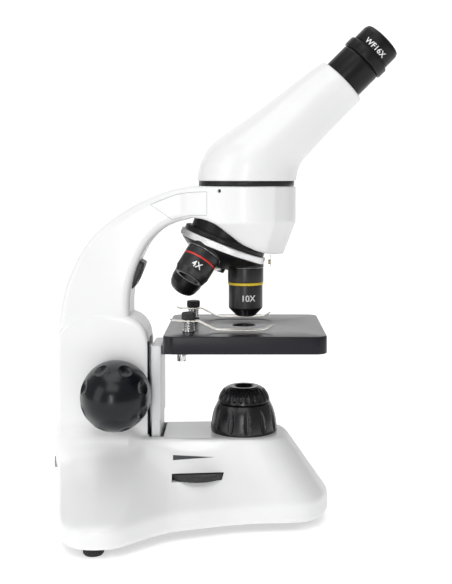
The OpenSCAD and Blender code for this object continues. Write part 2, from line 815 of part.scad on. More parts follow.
module head_screw() {
    color([0.2, 0.2, 0.2]) at_axis() translate([housing_x, 0, 192.4])
        rotate([0, 0, screw_turn]) rotate([0, 90, 0]) difference() {
            translate([0, 0, 22.2]) cylinder(r = 1.05, h = 6.2);
            translate([0, 0, 26.8]) cylinder(r = 0.5, h = 3, $fn = 6);
        }
}

module drawtube() {
    color([0.05, 0.05, 0.06]) at_axis() along_tube() tube(12.85, barrel_r + fit, -26, sleeve_l);
}

flange_top = sleeve_l + gap + flange_l;

module eyepiece_body() {
    r = eyepiece_d / 2;
    color([0.05, 0.05, 0.06]) at_axis() along_tube() rotate_extrude() polygon(concat(
        [[10.4, -18], [barrel_r, -18], [barrel_r, sleeve_l + gap], [13.4, sleeve_l + gap],
            [13.85, sleeve_l + gap + 0.5], [13.85, flange_top - 0.5], [13.4, flange_top], [r, flange_top],
            [r, eyepiece_top - eyepiece_round]],
        arc(r - eyepiece_round, eyepiece_top - eyepiece_round, eyepiece_round, 0, 90, 6),
        [[8.6, eyepiece_top], [7, eyepiece_top - 2.4], [7, 24], [10.4, 20]]));
}

module eye_lens() {
    color([0.8, 0.9, 1, 0.5]) at_axis() along_tube() translate([0, 0, 26]) cylinder(r = 6.95, h = 4.4);
}

module field_lens() {
    color([0.8, 0.9, 1, 0.5]) at_axis() along_tube() translate([0, 0, -15]) cylinder(r = 10.35, h = 4);
}

base_casting();
base_plate();
battery_door();
battery_holder();
rubber_feet();
plate_screws();
control_board();
dimmer_pot();
brightness_wheel();
dc_jack();
led_module();
illuminator_shell();
illuminator_ring();
collector_lens();
column_casting();
arm_casting();
lamp_bezel();
lamp_lens();
lamp_board();
guide_rails();
stage_carriage();
focus_rack();
stage_bracket();
focus_shaft();
focus_pinion();
focus_knob_left();
focus_knob_right();
shaft_bushes();
stage_plate();
stage_shelf();
stage_screws();
condenser_lens();
diaphragm_disc();
diaphragm_screw();
clip_left();
clip_right();
clip_posts();
clip_caps();
clip_springs();
nosepiece_base();
nosepiece_turret();
nosepiece_screw();
detent_spring();
detent_ball();
objective_low();
objective_mid();
objective_high();
objective_lenses();
ring_low();
ring_mid();
ring_high();
head_ring();
head_housing();
prism();
head_screw();
drawtube();
eyepiece_body();
eye_lens();
field_lens();
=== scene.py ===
"""Looks of the student microscope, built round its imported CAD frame.

Lengths are in millimetres, with x = 0 on the axis of the objective in use, until to_world() turns
them into metres in the frame's own axes.
"""
import json
import math

import bmesh
import bpy
import numpy as np
from mathutils import Matrix, Vector


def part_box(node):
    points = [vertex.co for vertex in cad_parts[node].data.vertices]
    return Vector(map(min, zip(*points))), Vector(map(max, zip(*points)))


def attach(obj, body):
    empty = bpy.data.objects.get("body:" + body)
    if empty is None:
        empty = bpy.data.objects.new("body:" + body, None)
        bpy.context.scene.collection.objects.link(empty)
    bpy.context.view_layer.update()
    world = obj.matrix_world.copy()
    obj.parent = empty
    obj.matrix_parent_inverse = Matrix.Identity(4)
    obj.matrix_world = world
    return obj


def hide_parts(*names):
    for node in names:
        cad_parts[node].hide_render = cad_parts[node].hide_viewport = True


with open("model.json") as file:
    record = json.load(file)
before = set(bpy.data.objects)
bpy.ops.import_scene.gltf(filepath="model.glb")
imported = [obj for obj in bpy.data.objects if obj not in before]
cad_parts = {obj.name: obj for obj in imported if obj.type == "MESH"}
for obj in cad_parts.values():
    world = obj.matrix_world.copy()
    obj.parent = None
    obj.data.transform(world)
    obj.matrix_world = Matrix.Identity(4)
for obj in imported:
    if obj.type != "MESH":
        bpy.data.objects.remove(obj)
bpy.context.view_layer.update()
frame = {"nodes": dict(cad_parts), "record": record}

MM = 0.001
AXIS_X = (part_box("collector_lens")[0][0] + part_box("collector_lens")[1][0]) / 2


def node_box(name):
    """A CAD node's lowest and highest corners, in millimetres from the objective's axis."""
    lo, hi = (np.array(c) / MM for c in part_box(name))
    shift = np.array([AXIS_X / MM, 0, 0])
    return lo - shift, hi - shift


# Sizes that follow the CAD model
STAGE_LO, STAGE_HI = node_box("stage_plate")
DECK_Z = node_box("base_casting")[1][2]
SKIRT_Z = node_box("base_casting")[0][2]
SHAFT = sum(node_box("focus_shaft")) / 2
KNOB_LO, KNOB_HI = node_box("focus_knob_right")
KNOB_IN, KNOB_OUT, KNOB_R = KNOB_LO[1], KNOB_HI[1], (KNOB_HI[2] - KNOB_LO[2]) / 2

# Places that the CAD model has too
APEX = np.array([1.0, 0.0, 195.0])      # where the turret's axis meets the objectives' axes
LEAN = 21                               # degrees between the turret's axis and each of them
TUBE_END = np.array([57.0, 0.0, 256.15])
TUBE_TILT = 45
TURNS = {"low": 120, "mid": 0, "high": -120}
HOUSING_X = 1.5
HOUSING_R = 29
SPLIT_Z = 198                           # the arm's top, where the head starts
CREASE_Z = 16.5
WALL = 3.0
COLUMN_FRONT, COLUMN_REAR = -54.5, -107.5
COLUMN_HALF = 16.5
ARM_HALF = 15.7


# ---- frames and curves

def turned(axis, degrees):
    return Matrix.Rotation(math.radians(degrees), 4, axis)


AT_TURRET = Matrix.Translation(APEX) @ turned("Y", 180 + LEAN)
AT_TUBE = Matrix.Translation(TUBE_END) @ turned("Y", TUBE_TILT)
AT_LAMP = Matrix.Translation((-60.6, 0, 143.8)) @ turned("Y", 111.8)


def at_objective(kind):
    """The place of an objective's axis, pointing away from the turret."""
    return AT_TURRET @ turned("Z", TURNS[kind]) @ turned("Y", -LEAN)


def upright(x, y, z):
    return Matrix.Translation((x, y, z))


def spline(points, steps):
    """Smooth curve through a row of points, with so many steps between each two."""
    p = np.array(points, float)
    out = []
    for i in range(len(p) - 1):
        a, b, c, d = p[max(i - 1, 0)], p[i], p[i + 1], p[min(i + 2, len(p) - 1)]
        for t in np.arange(steps) / steps:
            out.append(0.5 * (2 * b + (c - a) * t + (2 * a - 5 * b + 4 * c - d) * t ** 2
                              + (3 * b - a - 3 * c + d) * t ** 3))
    out.append(p[-1])
    return np.array(out)


def rounded(points, radius, steps=4):
    """The same closed outline with each corner turned into an arc, where the sides are long enough."""
    p = [np.array(q, float) for q in points]
    out = []
    for i, b in enumerate(p):
        u, v = p[i - 1] - b, p[(i + 1) % len(p)] - b
        lu, lv = np.linalg.norm(u), np.linalg.norm(v)
        u, v = u / lu, v / lv
        half = math.acos(max(-1, min(1, float(u @ v)))) / 2
        if half > math.radians(87):
            out.append(b)
            continue
        cut = min(radius / math.tan(half), 0.48 * lu, 0.48 * lv)
        r = cut * math.tan(half)
        centre = b + (u + v) / np.linalg.norm(u + v) * (r / math.sin(half))
        start, end = b + u * cut - centre, b + v * cut - centre
        for k in range(steps + 1):
            m = start * (1 - k / steps) + end * (k / steps)
            out.append(centre + m / np.linalg.norm(m) * r)
    return np.array(out)


# ---- meshes

def to_world(points, place=None):
    q = np.asarray(points, float)
    if place is not None:
        m = np.array(place)
        q = q @ m[:3, :3].T + m[:3, 3]
    return q * MM + np.array([AXIS_X, 0, 0])


def add(name, data):
    """A new object in the scene."""
    obj = bpy.data.objects.new(name, data)
    bpy.context.scene.collection.objects.link(obj)
    return obj


def shade(mesh, sharp=None):
    """Smooth shading, with edges sharper than that many degrees left hard."""
    mesh.shade_smooth()
    if sharp:
        mesh.set_sharp_from_angle(angle=math.radians(sharp))


def make(name, verts, faces, place=None, sharp=None):
    """A new object from points in millimetres."""
    mesh = bpy.data.meshes.new(name)
    points = [tuple(v) for v in to_world(verts, place)]
    mesh.from_pydata(points, [], [tuple(int(i) for i in f) for f in faces])
    mesh.validate()
    bm = bmesh.new()
    bm.from_mesh(mesh)
    bmesh.ops.remove_doubles(bm, verts=bm.verts, dist=1e-6)
    bmesh.ops.recalc_face_normals(bm, faces=bm.faces)
    bm.to_mesh(mesh)
    bm.free()
    obj = add(name, mesh)
    shade(mesh, sharp)
    return obj


def revolve(name, profile, place=None, around=96, shape=None, sharp=40):
    """Turns a closed profile of (radius, height) about z. shape(r, angle, z) may move each point."""
    p = np.array(profile, float)
    a = np.arange(around) * 2 * math.pi / around
    r = np.repeat(p[:, 0][:, None], around, 1)
    z = np.repeat(p[:, 1][:, None], around, 1)
    t = np.repeat(a[None, :], len(p), 0)
    if shape:
        r, z = shape(r, t, z)
    verts = np.stack([r * np.cos(t), r * np.sin(t), z], 2).reshape(-1, 3)
    n, m = len(p), around
    on_axis = p[:, 0] < 1e-6
    faces = [(i * m + j, i * m + (j + 1) % m, (i + 1) % n * m + (j + 1) % m, (i + 1) % n * m + j)
             for i in range(n) for j in range(m) if not (on_axis[i] and on_axis[(i + 1) % n])]
    return make(name, verts, faces, place, sharp=sharp)


def skin(rings, cap=True):
    """Points and faces of a skin through closed rings of the same number of points."""
    verts = np.concatenate(rings)
    n, m = len(rings), len(rings[0])
    faces = [(k * m + i, k * m + (i + 1) % m, (k + 1) * m + (i + 1) % m, (k + 1) * m + i)
             for k in range(n - 1) for i in range(m)]
    if cap:
        faces += [tuple(range(m)), tuple((n - 1) * m + i for i in range(m))]
    return verts, faces


def slab(name, outline, z0, z1, edge=0.6, place=None, steps=3, hole=None, sharp=30):
    """A plate with its outline in x and y, from z0 to z1, with rounded edges and perhaps a round hole."""
    o = np.array(outline, float)
    tangent = np.roll(o, -1, 0) - np.roll(o, 1, 0)
    normal = np.stack([tangent[:, 1], -tangent[:, 0]], 1)
    area = 0.5 * np.sum(o[:, 0] * np.roll(o[:, 1], -1) - np.roll(o[:, 0], -1) * o[:, 1])
    normal *= np.sign(area) / np.linalg.norm(normal, axis=1)[:, None]
    quarter = [math.pi / 2 * k / steps for k in range(steps + 1)]
    low = [(z0 + edge * (1 - math.cos(a)), edge * (1 - math.sin(a))) for a in quarter]
    high = [(z0 + z1 - z, d) for z, d in reversed(low)]
    rows = [np.column_stack([o - normal * d, np.full(len(o), z)]) for z, d in low + high]
    if hole is None:
        verts, faces = skin(rows)
        return make(name, verts, faces, place, sharp=sharp)
    cx, cy, r, rim = hole
    angles = np.arctan2(o[:, 1] - cy, o[:, 0] - cx)
    x, y = np.cos(angles), np.sin(angles)
    inner = [np.column_stack([cx + q * x, cy + q * y, np.full(len(o), z)])
             for q, z in ((r + rim, z1), (r + rim * 0.3, z1 - rim * 0.3), (r, z1 - rim), (r, z0))]
    verts, faces = skin(rows + inner + [rows[0]], cap=False)
    return make(name, verts, faces, place, sharp=sharp)


def side_place():
    """Turns an outline drawn in x and z, with its thickness along y, into place."""
    return Matrix(((1, 0, 0, 0), (0, 0, -1, 0), (0, 1, 0, 0), (0, 0, 0, 1)))


def wire(name, points, radius, sides=10, place=None):
    """A round wire along a row of points."""
    p = np.array(points, float)
    tangent = np.gradient(p, axis=0)
    tangent /= np.linalg.norm(tangent, axis=1)[:, None]
    side = np.cross(tangent[0], [0.31, 0.17, 0.93])
    rings = []
    for q, t in zip(p, tangent):
        side = side - t * (side @ t)
        side /= np.linalg.norm(side)
        up = np.cross(t, side)
        a = np.arange(sides) * 2 * math.pi / sides
        rings.append(q + radius * (np.outer(np.cos(a), side) + np.outer(np.sin(a), up)))
    verts, faces = skin(rings)
    return make(name, verts, faces, place, sharp=60)


def join(name, pieces):
    """One object from several."""
    bm = bmesh.new()
    for o in pieces:
        bm.from_mesh(o.data)
    mesh = pieces[0].data.copy()
    mesh.name = name
    bm.to_mesh(mesh)
    bm.free()
    obj = add(name, mesh)
    for o in pieces:
        bpy.data.objects.remove(o)
    return obj


# ---- castings as distance fields

def outline_distance(x, z, outline):
    """Signed distance from points to a closed outline, negative inside."""
    o = np.array(outline, float)
    best = None
    inside = None
    for a, b in zip(o, np.roll(o, -1, 0)):
        e = b - a
        if e @ e < 1e-9:
            continue
        wx, wz = x - a[0], z - a[1]
        t = np.clip((wx * e[0] + wz * e[1]) / (e @ e), 0, 1)
        d = (wx - e[0] * t) ** 2 + (wz - e[1] * t) ** 2
        best = d if best is None else np.minimum(best, d)
        up, down = z >= a[1], z < b[1]
        left = e[0] * wz > e[1] * wx
        flip = (up & down & left) | (~up & ~down & ~left)
        inside = flip if inside is None else inside ^ flip
    return np.sqrt(best) * np.where(inside, -1, 1)


def both(a, b, r):
    """What two solids share, with an edge of radius r."""
    u, v = np.maximum(a + r, 0), np.maximum(b + r, 0)
    return np.minimum(np.maximum(a, b), -r) + np.sqrt(u * u + v * v)


def either(a, b, r):
    """Two solids joined, with a fillet of radius r."""
    return -both(-a, -b, r)


def net(name, field, lo, hi, step):
    """A smooth closed mesh where the field is zero, from samples on a grid."""
    lo = np.array(lo, float)
    n = np.ceil((np.array(hi) - lo) / step).astype(int) + 1
    axes = [lo[i] + step * np.arange(n[i]) for i in range(3)]
    x, y, z = np.meshgrid(*axes, indexing="ij", sparse=True)
    d = np.broadcast_to(field(x, y, z), tuple(n)).astype(np.float64)
    cells = tuple(n - 1)
    total = np.zeros(cells + (3,))
    count = np.zeros(cells)
    grid = np.indices(tuple(n))
    quads = []
    for axis in range(3):
        u, v = [k for k in range(3) if k != axis]
        a, b = np.delete(d, -1, axis), np.delete(d, 0, axis)
        cross = (a < 0) != (b < 0)
        t = np.where(cross, a / np.where(cross, a - b, 1), 0)
        for du, dv in np.ndindex(2, 2):
            start = [0, 0, 0]
            start[u], start[v] = du, dv
            window = tuple(slice(q, q + c) for q, c in zip(start, cells))
            c = cross[window]
            count += c
            for k in range(3):
                total[..., k] += (grid[k][window] + (t[window] if k == axis else 0)) * c
        at = np.argwhere(cross)
        at = at[(at[:, u] > 0) & (at[:, u] < cells[u]) & (at[:, v] > 0) & (at[:, v] < cells[v])]
        solid = (a < 0)[tuple(at.T)]
        corner = []
        for du, dv in ((1, 1), (0, 1), (0, 0), (1, 0)):
            c = at.copy()
            c[:, u] -= du
            c[:, v] -= dv
            corner.append(np.ravel_multi_index(c.T, cells))
        q = np.stack(corner, 1)
        if axis == 1:
            solid = ~solid
        q[~solid] = q[~solid][:, ::-1]
        quads.append(q)
    active = np.argwhere(count > 0)
    number = np.full(cells, -1)
    number[tuple(active.T)] = np.arange(len(active))
    p = total[tuple(active.T)] / count[tuple(active.T)][:, None]
    faces = number.reshape(-1)[np.concatenate(quads)]
    slope = np.stack(np.gradient(d), 3)

    def sample(values, q):
        i = np.clip(np.floor(q).astype(int), 0, np.array(values.shape[:3]) - 2)
        f = q - i
        out = 0
        for c in np.ndindex(2, 2, 2):
            w = np.prod(np.where(c, f, 1 - f), axis=1)
            value = values[i[:, 0] + c[0], i[:, 1] + c[1], i[:, 2] + c[2]]
            out = out + (value * w if value.ndim == 1 else value * w[:, None])
        return out

    for _ in range(3):
        g = sample(slope, p)
        move = sample(d, p)[:, None] * g / np.maximum((g * g).sum(1), 0.1)[:, None]
        p = p - np.clip(move, -0.5, 0.5)
    return make(name, lo + p * step, faces)


def cut(obj, cutters):
    """Takes the cutters out of an object, and deletes them."""
    for c in cutters:
        m = obj.modifiers.new("cut", "BOOLEAN")
        m.operation = "DIFFERENCE"
        m.solver = "EXACT"
        m.object = c
    graph = bpy.context.evaluated_depsgraph_get()
    mesh = bpy.data.meshes.new_from_object(obj.evaluated_get(graph))
    obj.modifiers.clear()
    obj.data = mesh
    for c in cutters:
        bpy.data.objects.remove(c)
    shade(mesh, 35)
    return obj


def drill(r, z0, z1, place, around=48):
    """A round cutter along the place's z axis."""
    return revolve("cutter", [(0, z0), (r, z0), (r, z1), (0, z1)], place, around)


def rounded_rectangle(x0, x1, y0, y1, r, steps=8):
    return rounded([(x0, y0), (x1, y0), (x1, y1), (x0, y1)], r, steps)


def block(x0, x1, half, z0, z1):
    """A block-shaped cutter, as wide on both sides of y = 0."""
    return slab("cutter", rounded_rectangle(x0, x1, -half, half, 0.4, 2), z0, z1, edge=0.05)


# ---- base, column and arm

CREASE = [(-106, 22), (-102.5, 42), (-98, 57), (-92.4, 65.8), (-85, 70.3), (-73, 70.5), (-64, 66.6),
          (-56, 58.4), (-41.6, 45.8), (-24.2, 39.2), (-6.4, 33.4), (10.4, 30.6), (28.6, 29.4),
          (38.2, 25.8), (45, 17.4), (48.6, 6)]
DECK = [(-107.5, 8), (-106, 15), (-98, 18.4), (-88, 18.8), (-78, 19), (-68, 19.2), (-60, 19.5),
        (-54, 19.9), (-44, 20.6), (-30, 21.2), (-14, 21.8), (-2, 22), (8, 21.8), (16.5, 18.4),
        (22.3, 11.4), (24.4, 3)]
SHOULDER = spline([(COLUMN_FRONT, 104), (-56, 112), (-60, 117.5), (-66, 120.6), (-78, 122.3),
                   (-90, 121.6), (-100, 118), (-106.6, 111)], 4)
ARM_OUTER = spline([(-25.7, 195), (-34.3, 194.6), (-47.6, 191.2), (-68.2, 181.4), (-88.8, 164.3),
                    (-101.7, 140), (-106.3, 119), (-106.6, 111)], 5)
ARM_INNER = spline([(-65.1, 118), (-65.1, 129.6), (-63.4, 141.4), (-59.2, 153.2), (-53, 163.7),
                    (-43.5, 171.8), (-29.3, 177)], 5)
HOUSING_BOTTOM = spline([(-29.3, 177), (-23, 176.2), (-17.3, 174.1), (-12.7, 171.1), (-7.2, 166.5),
                         (-2, 162.4), (3, 159.9), (8.1, 157.9), (14.7, 156.2), (23.3, 155.2)], 3)
TAPER_Z = 174.5      # below it the housing leans in
BEZEL = [(-60.5, 152), (-57.5, 150.5), (-58.1, 147.8), (-62.9, 137), (-64.4, 135.6), (-67, 136),
         (-67, 144), (-64, 151)]


def base_side(x, y, z):
    """Distance to the base's sides: upright round the skirt, then flaring in to the deck."""
    crease, deck = np.array(CREASE, float), np.array(DECK, float)
    slices = []
    for level in np.ravel(z):
        t = (level - CREASE_Z) / (DECK_Z - CREASE_Z)
        t = min(1.0, 0.5 * (t + math.sqrt(t * t + 0.0008)))
        e = 1 - (1 - t) ** 1.6
        spread = 0.65 * max(0, CREASE_Z - level) / (CREASE_Z - SKIRT_Z)
        half = np.column_stack([crease[:, 0] * (1 - t) + deck[:, 0] * t,
                                crease[:, 1] * (1 - e) + deck[:, 1] * e + spread])
        # the middle of the rear and of the front stand out a little, so both ends are gently curved
        half = np.vstack([[half[0, 0] - 1.0, 0], half, [half[-1, 0] + 0.5, 0]])
        half = spline(half, 3)
        lower = half * np.array([1, -1])
        slices.append(outline_distance(x[:, :, 0], y[:, :, 0], np.vstack([lower, half[-2:0:-1]])))
    return np.stack(slices, 2) * 0.8


def stand_field(x, y, z):
    side = base_side(x, y, z)
    base = both(side, np.maximum(z - DECK_Z, SKIRT_Z - z), 1.6)
    outline = np.vstack([[COLUMN_REAR, 40], [COLUMN_FRONT, 40], SHOULDER, [COLUMN_REAR, 100]])
    column = both(outline_distance(x, z, outline), abs(y) - COLUMN_HALF, 2.6)
    fillet = np.clip(-55.5 - x, 0.5, 10)
    body = both(either(base, column, fillet), COLUMN_REAR - x, 1.0)
    # the wall is thicker under the wide rear slopes, where it would come out thin across the slope
    rear, low, high = np.clip((-45 - x) / 8, 0, 1), np.clip((34 - z) / 12, 0, 1), np.clip((z - 13) / 5, 0, 1)
    thick = WALL + 2.2 * rear * low * high
    inner = np.minimum(np.maximum(side + thick, z - (DECK_Z - WALL)), column + WALL)
    return np.maximum(body, -inner)


def housing_field(x, y, z):
    """The round front of the arm, which leans in below its crease."""
    t = np.maximum(0, (TAPER_Z - z) / 20)
    cx, r = HOUSING_X + 8.3 * t, HOUSING_R - 15.3 * t
    return (np.sqrt((x - cx) ** 2 + y ** 2) - r) * np.where(t > 0, 0.85, 1)


def arm_field(x, y, z):
    front = 31
    outline = np.vstack([[(front, 195)], ARM_OUTER, ARM_INNER, HOUSING_BOTTOM, [(front, TAPER_Z)]])
    profile = outline_distance(x, z, outline)
    # the arm ends inside the housing, so the housing's front stays round
    arm = np.maximum(both(profile, abs(y) - ARM_HALF, 4.5), x - 8)
    top = [(front, SPLIT_Z), (-front, SPLIT_Z), (-front, HOUSING_BOTTOM[0][1])]
    below = outline_distance(x, z, np.vstack([top, HOUSING_BOTTOM, [(front, TAPER_Z)]]))
    housing = both(below, housing_field(x, y, z), 1.2)
    # the fillet between arm and housing stays within their side outline
    body = both(either(arm, housing, 14), profile, 1.0)
    inner = np.maximum(np.maximum(profile + WALL, abs(y) - (ARM_HALF - WALL)), x + 30)
    # the light's way up: a bore on the objective's axis, and a wider well under the head
    bore = np.sqrt(x ** 2 + y ** 2) - 9 + 0 * z
    well = np.maximum(np.sqrt((x - HOUSING_X) ** 2 + y ** 2) - 22, 187 - z)
    return np.maximum(body, -np.minimum(inner, np.minimum(bore, well)))


def make_stand():
    body = net("stand_shell", stand_field, (-111, -74, SKIRT_Z - 2), (53, 74, 125), 1.2)
    slot_z = (29.6, 33.6)
    bracket_pocket = block(COLUMN_FRONT, -46.2, 16.6, DECK_Z - 5, DECK_Z + 8)
    deck_opening = block(-100, -46.3, 13.4, DECK_Z - 6, DECK_Z + 0.5)
    carriage_slot = block(COLUMN_FRONT - 5, COLUMN_FRONT + 1, 6.3, DECK_Z - 1, 107)
    wheel_slot = slab("cutter", rounded_rectangle(-40.5, -12.5, -45, -20, 0.4, 2), *slot_z, edge=0.05)
    wheel_room = drill(17.3, *slot_z, upright(-26.5, -17.5, 0), 96)
    shaft_bore = drill(5, -60, 60, upright(*SHAFT) @ turned("X", 90))
    jack_bore = drill(3.6, 0, 20, upright(-121, 0, 32.5) @ turned("Y", 90), 40)
    lamp_bore = drill(9, 0, 20, upright(0, 0, DECK_Z - 10))
    return cut(body, [bracket_pocket, deck_opening, carriage_slot, wheel_slot, wheel_room,
                      shaft_bore, jack_bore, lamp_bore])


def make_arm():
    body = net("arm_shell", arm_field, (-111, -33, 108), (34, 33, SPLIT_Z), 1.0)
    bezel = slab("cutter", BEZEL, -9.1, 9.1, 0.05, side_place())
    grub = drill(1.1, 20, 32, upright(HOUSING_X, 0, 192.4) @ turned("Z", 238.8) @ turned("Y", 90), 24)
    two_tiers = [(0, 25.8), (21.7, 25.8), (21.7, 31.8), (25.4, 31.8), (25.4, 60), (0, 60)]
    disc = revolve("cutter", two_tiers, AT_TURRET, 160)
    return cut(body, [bezel, grub, disc])


# ---- head and eyepiece

# each section's rear and front point in x and z, and its half width
HEAD_SECTIONS = [
    (-27.3, 198, 30.3, 198, 28.8), (-26.4, 204, 31.2, 202.6, 28.7), (-24.4, 210.4, 32.4, 206.6, 28.2),
    (-19.2, 218.8, 34.9, 210.6, 26.9), (-11, 225.4, 38.9, 214.8, 25), (2, 234.4, 45, 221.6, 22.4),
    (16.2, 245, 52.6, 229.4, 19.6), (32.6, 257.6, 60.8, 237.8, 17), (45.9, 267.2, 68.1, 245, 15.7)]


def head_ring(s, less):
    """A section's outline, drawn in by less."""
    a = np.arange(96) * 2 * math.pi / 96
    rear, front = np.array([s[0], s[1]]), np.array([s[2], s[3]])
    middle, reach = (rear + front) / 2, (front - rear) / 2
    reach = reach * (1 - less / np.linalg.norm(reach))
    xz = middle + np.outer(np.cos(a), reach)
    return np.column_stack([xz[:, 0], (s[4] - less) * np.sin(a), xz[:, 1]])


def make_head():
    sections = spline(HEAD_SECTIONS, 7)
    first, last = sections[0], sections[-1]
    out_dir = np.array([1, 0, 1]) / math.sqrt(2)
    rings = [head_ring(first, 0.9), head_ring(first, 0.25) + (0, 0, 0.25), head_ring(first, 0) + (0, 0, 0.9)]
    rings += [head_ring(s, 0) for s in sections[1:-1]]
    rings += [head_ring(last, 0) - 0.9 * out_dir, head_ring(last, 0.3) - 0.3 * out_dir, head_ring(last, 0.9)]
    rings += [head_ring(last, 2.3), head_ring(last, 2.75) - 0.5 * out_dir]
    inner = sections[::-1]
    thick = np.linspace(2.8, 4.8, len(inner))
    rings += [head_ring(s, w) for s, w in zip(inner[1:], thick[1:])]
    verts, faces = skin(rings + [rings[0]], cap=False)
    return make("head_shell", verts, faces, sharp=50)


LETTER_THICK = 0.06
LETTER_BASE = 0.03      # how far the letters' undersides stand off the cylinder


def wrapped_text(name, words, height, place, r, z, up, towards=(0, -1, 0)):
    """Letters of that height, wrapped round a cylinder about the place's z axis, on the side that faces
    towards. up is 1 where their tops point along that axis, and -1 where they point the other way."""
    m = np.array(place)
    middle = math.atan2(m[:3, 1] @ towards, m[:3, 0] @ towards)
    data = bpy.data.curves.new(name, "FONT")
    data.body = words
    data.size = height * 1.4
    data.offset = height * 0.022
    data.align_x = "CENTER"
    data.align_y = "CENTER"
    data.resolution_u = 4
    flat = add(name, data)
    graph = bpy.context.evaluated_depsgraph_get()
    mesh = bpy.data.meshes.new_from_object(flat.evaluated_get(graph))
    bpy.data.objects.remove(flat)
    bm = bmesh.new()
    bm.from_mesh(mesh)
    bmesh.ops.triangulate(bm, faces=bm.faces)
    for _ in range(2):
        long_edges = [e for e in bm.edges if e.calc_length() > 0.5]
        bmesh.ops.subdivide_edges(bm, edges=long_edges, cuts=1, use_grid_fill=True)
        bmesh.ops.triangulate(bm, faces=bm.faces)
    ring = bmesh.ops.extrude_face_region(bm, geom=bm.faces[:])
    for v in ring["geom"]:
        if isinstance(v, bmesh.types.BMVert):
            v.co.z += LETTER_THICK
    bmesh.ops.recalc_face_normals(bm, faces=bm.faces)
    for v in bm.verts:
        a = middle + up * v.co.x / r
        out = r + LETTER_BASE + v.co.z - LETTER_THICK
        q = np.array([out * math.cos(a), out * math.sin(a), z + up * v.co.y])
        v.co = to_world(m[:3, :3] @ q + m[:3, 3])
    bm.to_mesh(mesh)
    bm.free()
    return add(name, mesh)


EYE_TOP = 33.8
SLEEVE = 16.0
EYE_R = 12.5


def make_drawtube():
    profile = [(11.65, -26), (12.85, -26), (12.85, SLEEVE - 1.2), (12.5, SLEEVE), (11.65, SLEEVE)]
    return revolve("drawtube_sleeve", rounded(profile, 0.25, 3), AT_TUBE, 128)


def make_eyepiece():
    low, top = SLEEVE + 0.3, SLEEVE + 6.5
    profile = [(10.4, -18), (11.6, -18), (11.6, low), (13.3, low), (13.85, low + 0.6), (13.85, top - 0.7),
               (13.3, top), (EYE_R - 0.35, top), (EYE_R - 0.35, top + 0.7), (EYE_R, top + 0.9),
               (EYE_R, EYE_TOP - 2.6), (EYE_R - 0.7, EYE_TOP - 0.5), (EYE_R - 1.6, EYE_TOP),
               (9.4, EYE_TOP), (7.0, EYE_TOP - 2.6), (7.0, 24), (10.4, 20)]
    return revolve("eyepiece_shell", rounded(profile, 0.3, 3), AT_TUBE, 160)


def dome_lens(name, place, r, z0, rim, crown):
    """A lens with a domed top: its rim is flat to z0 + rim, its middle stands crown higher."""
    steps = 10
    quarter = [math.pi / 2 * k / steps for k in range(steps + 1)]
    cap = [(r * math.cos(a), z0 + rim + crown * math.sin(a)) for a in quarter]
    cap[-1] = (0, cap[-1][1])
    return revolve(name, [(0, z0), (r, z0)] + cap, place, 72, sharp=30)


# ---- focusing

def make_knob(side):
    place = upright(SHAFT[0], 0, SHAFT[2]) @ turned("X", -90 * side)
    widest = 27
    angles = np.radians(np.linspace(2, 88, 56))
    dome = [(KNOB_R * math.cos(a) ** 0.9, widest + (KNOB_OUT - widest) * math.sin(a)) for a in angles]
    flank = spline([(14.5, KNOB_IN), (16.6, KNOB_IN + 0.5), (18.6, 21.4), (KNOB_R - 0.12, 24.6),
                    (KNOB_R, widest)], 5).tolist()
    hub = [(2.5, KNOB_IN + 12), (2.5, KNOB_IN), (9.5, KNOB_IN), (9.5, KNOB_IN + 0.8), (13.4, KNOB_IN + 0.8)]

    def dimpled(r, t, z):
        """Eight oval hollows for the finger tips, on the shoulder, each with a low rim."""
        turn = (t - math.radians(22) + math.pi / 8) % (math.pi / 4) - math.pi / 8
        across = turn * 17.5 / 3.7
        along = np.hypot(z - 38.6, r - 17.6) / 5.0
        q = np.sqrt(across ** 2 + along ** 2)
        deep = 1.55 * np.clip(1 - q ** 2, 0, 1) ** 0.8 - 0.16 * np.exp(-((q - 1.12) / 0.16) ** 2)
        use = (z > 28) & (r > 8)
        return r - deep * 0.78 * use, z - deep * 0.62 * use

    profile = hub + flank + dome + [(0, KNOB_OUT), (0, KNOB_IN + 12)]
    return revolve("knob_left" if side < 0 else "knob_right", profile, place, 288, dimpled, sharp=45)


# ---- illuminator

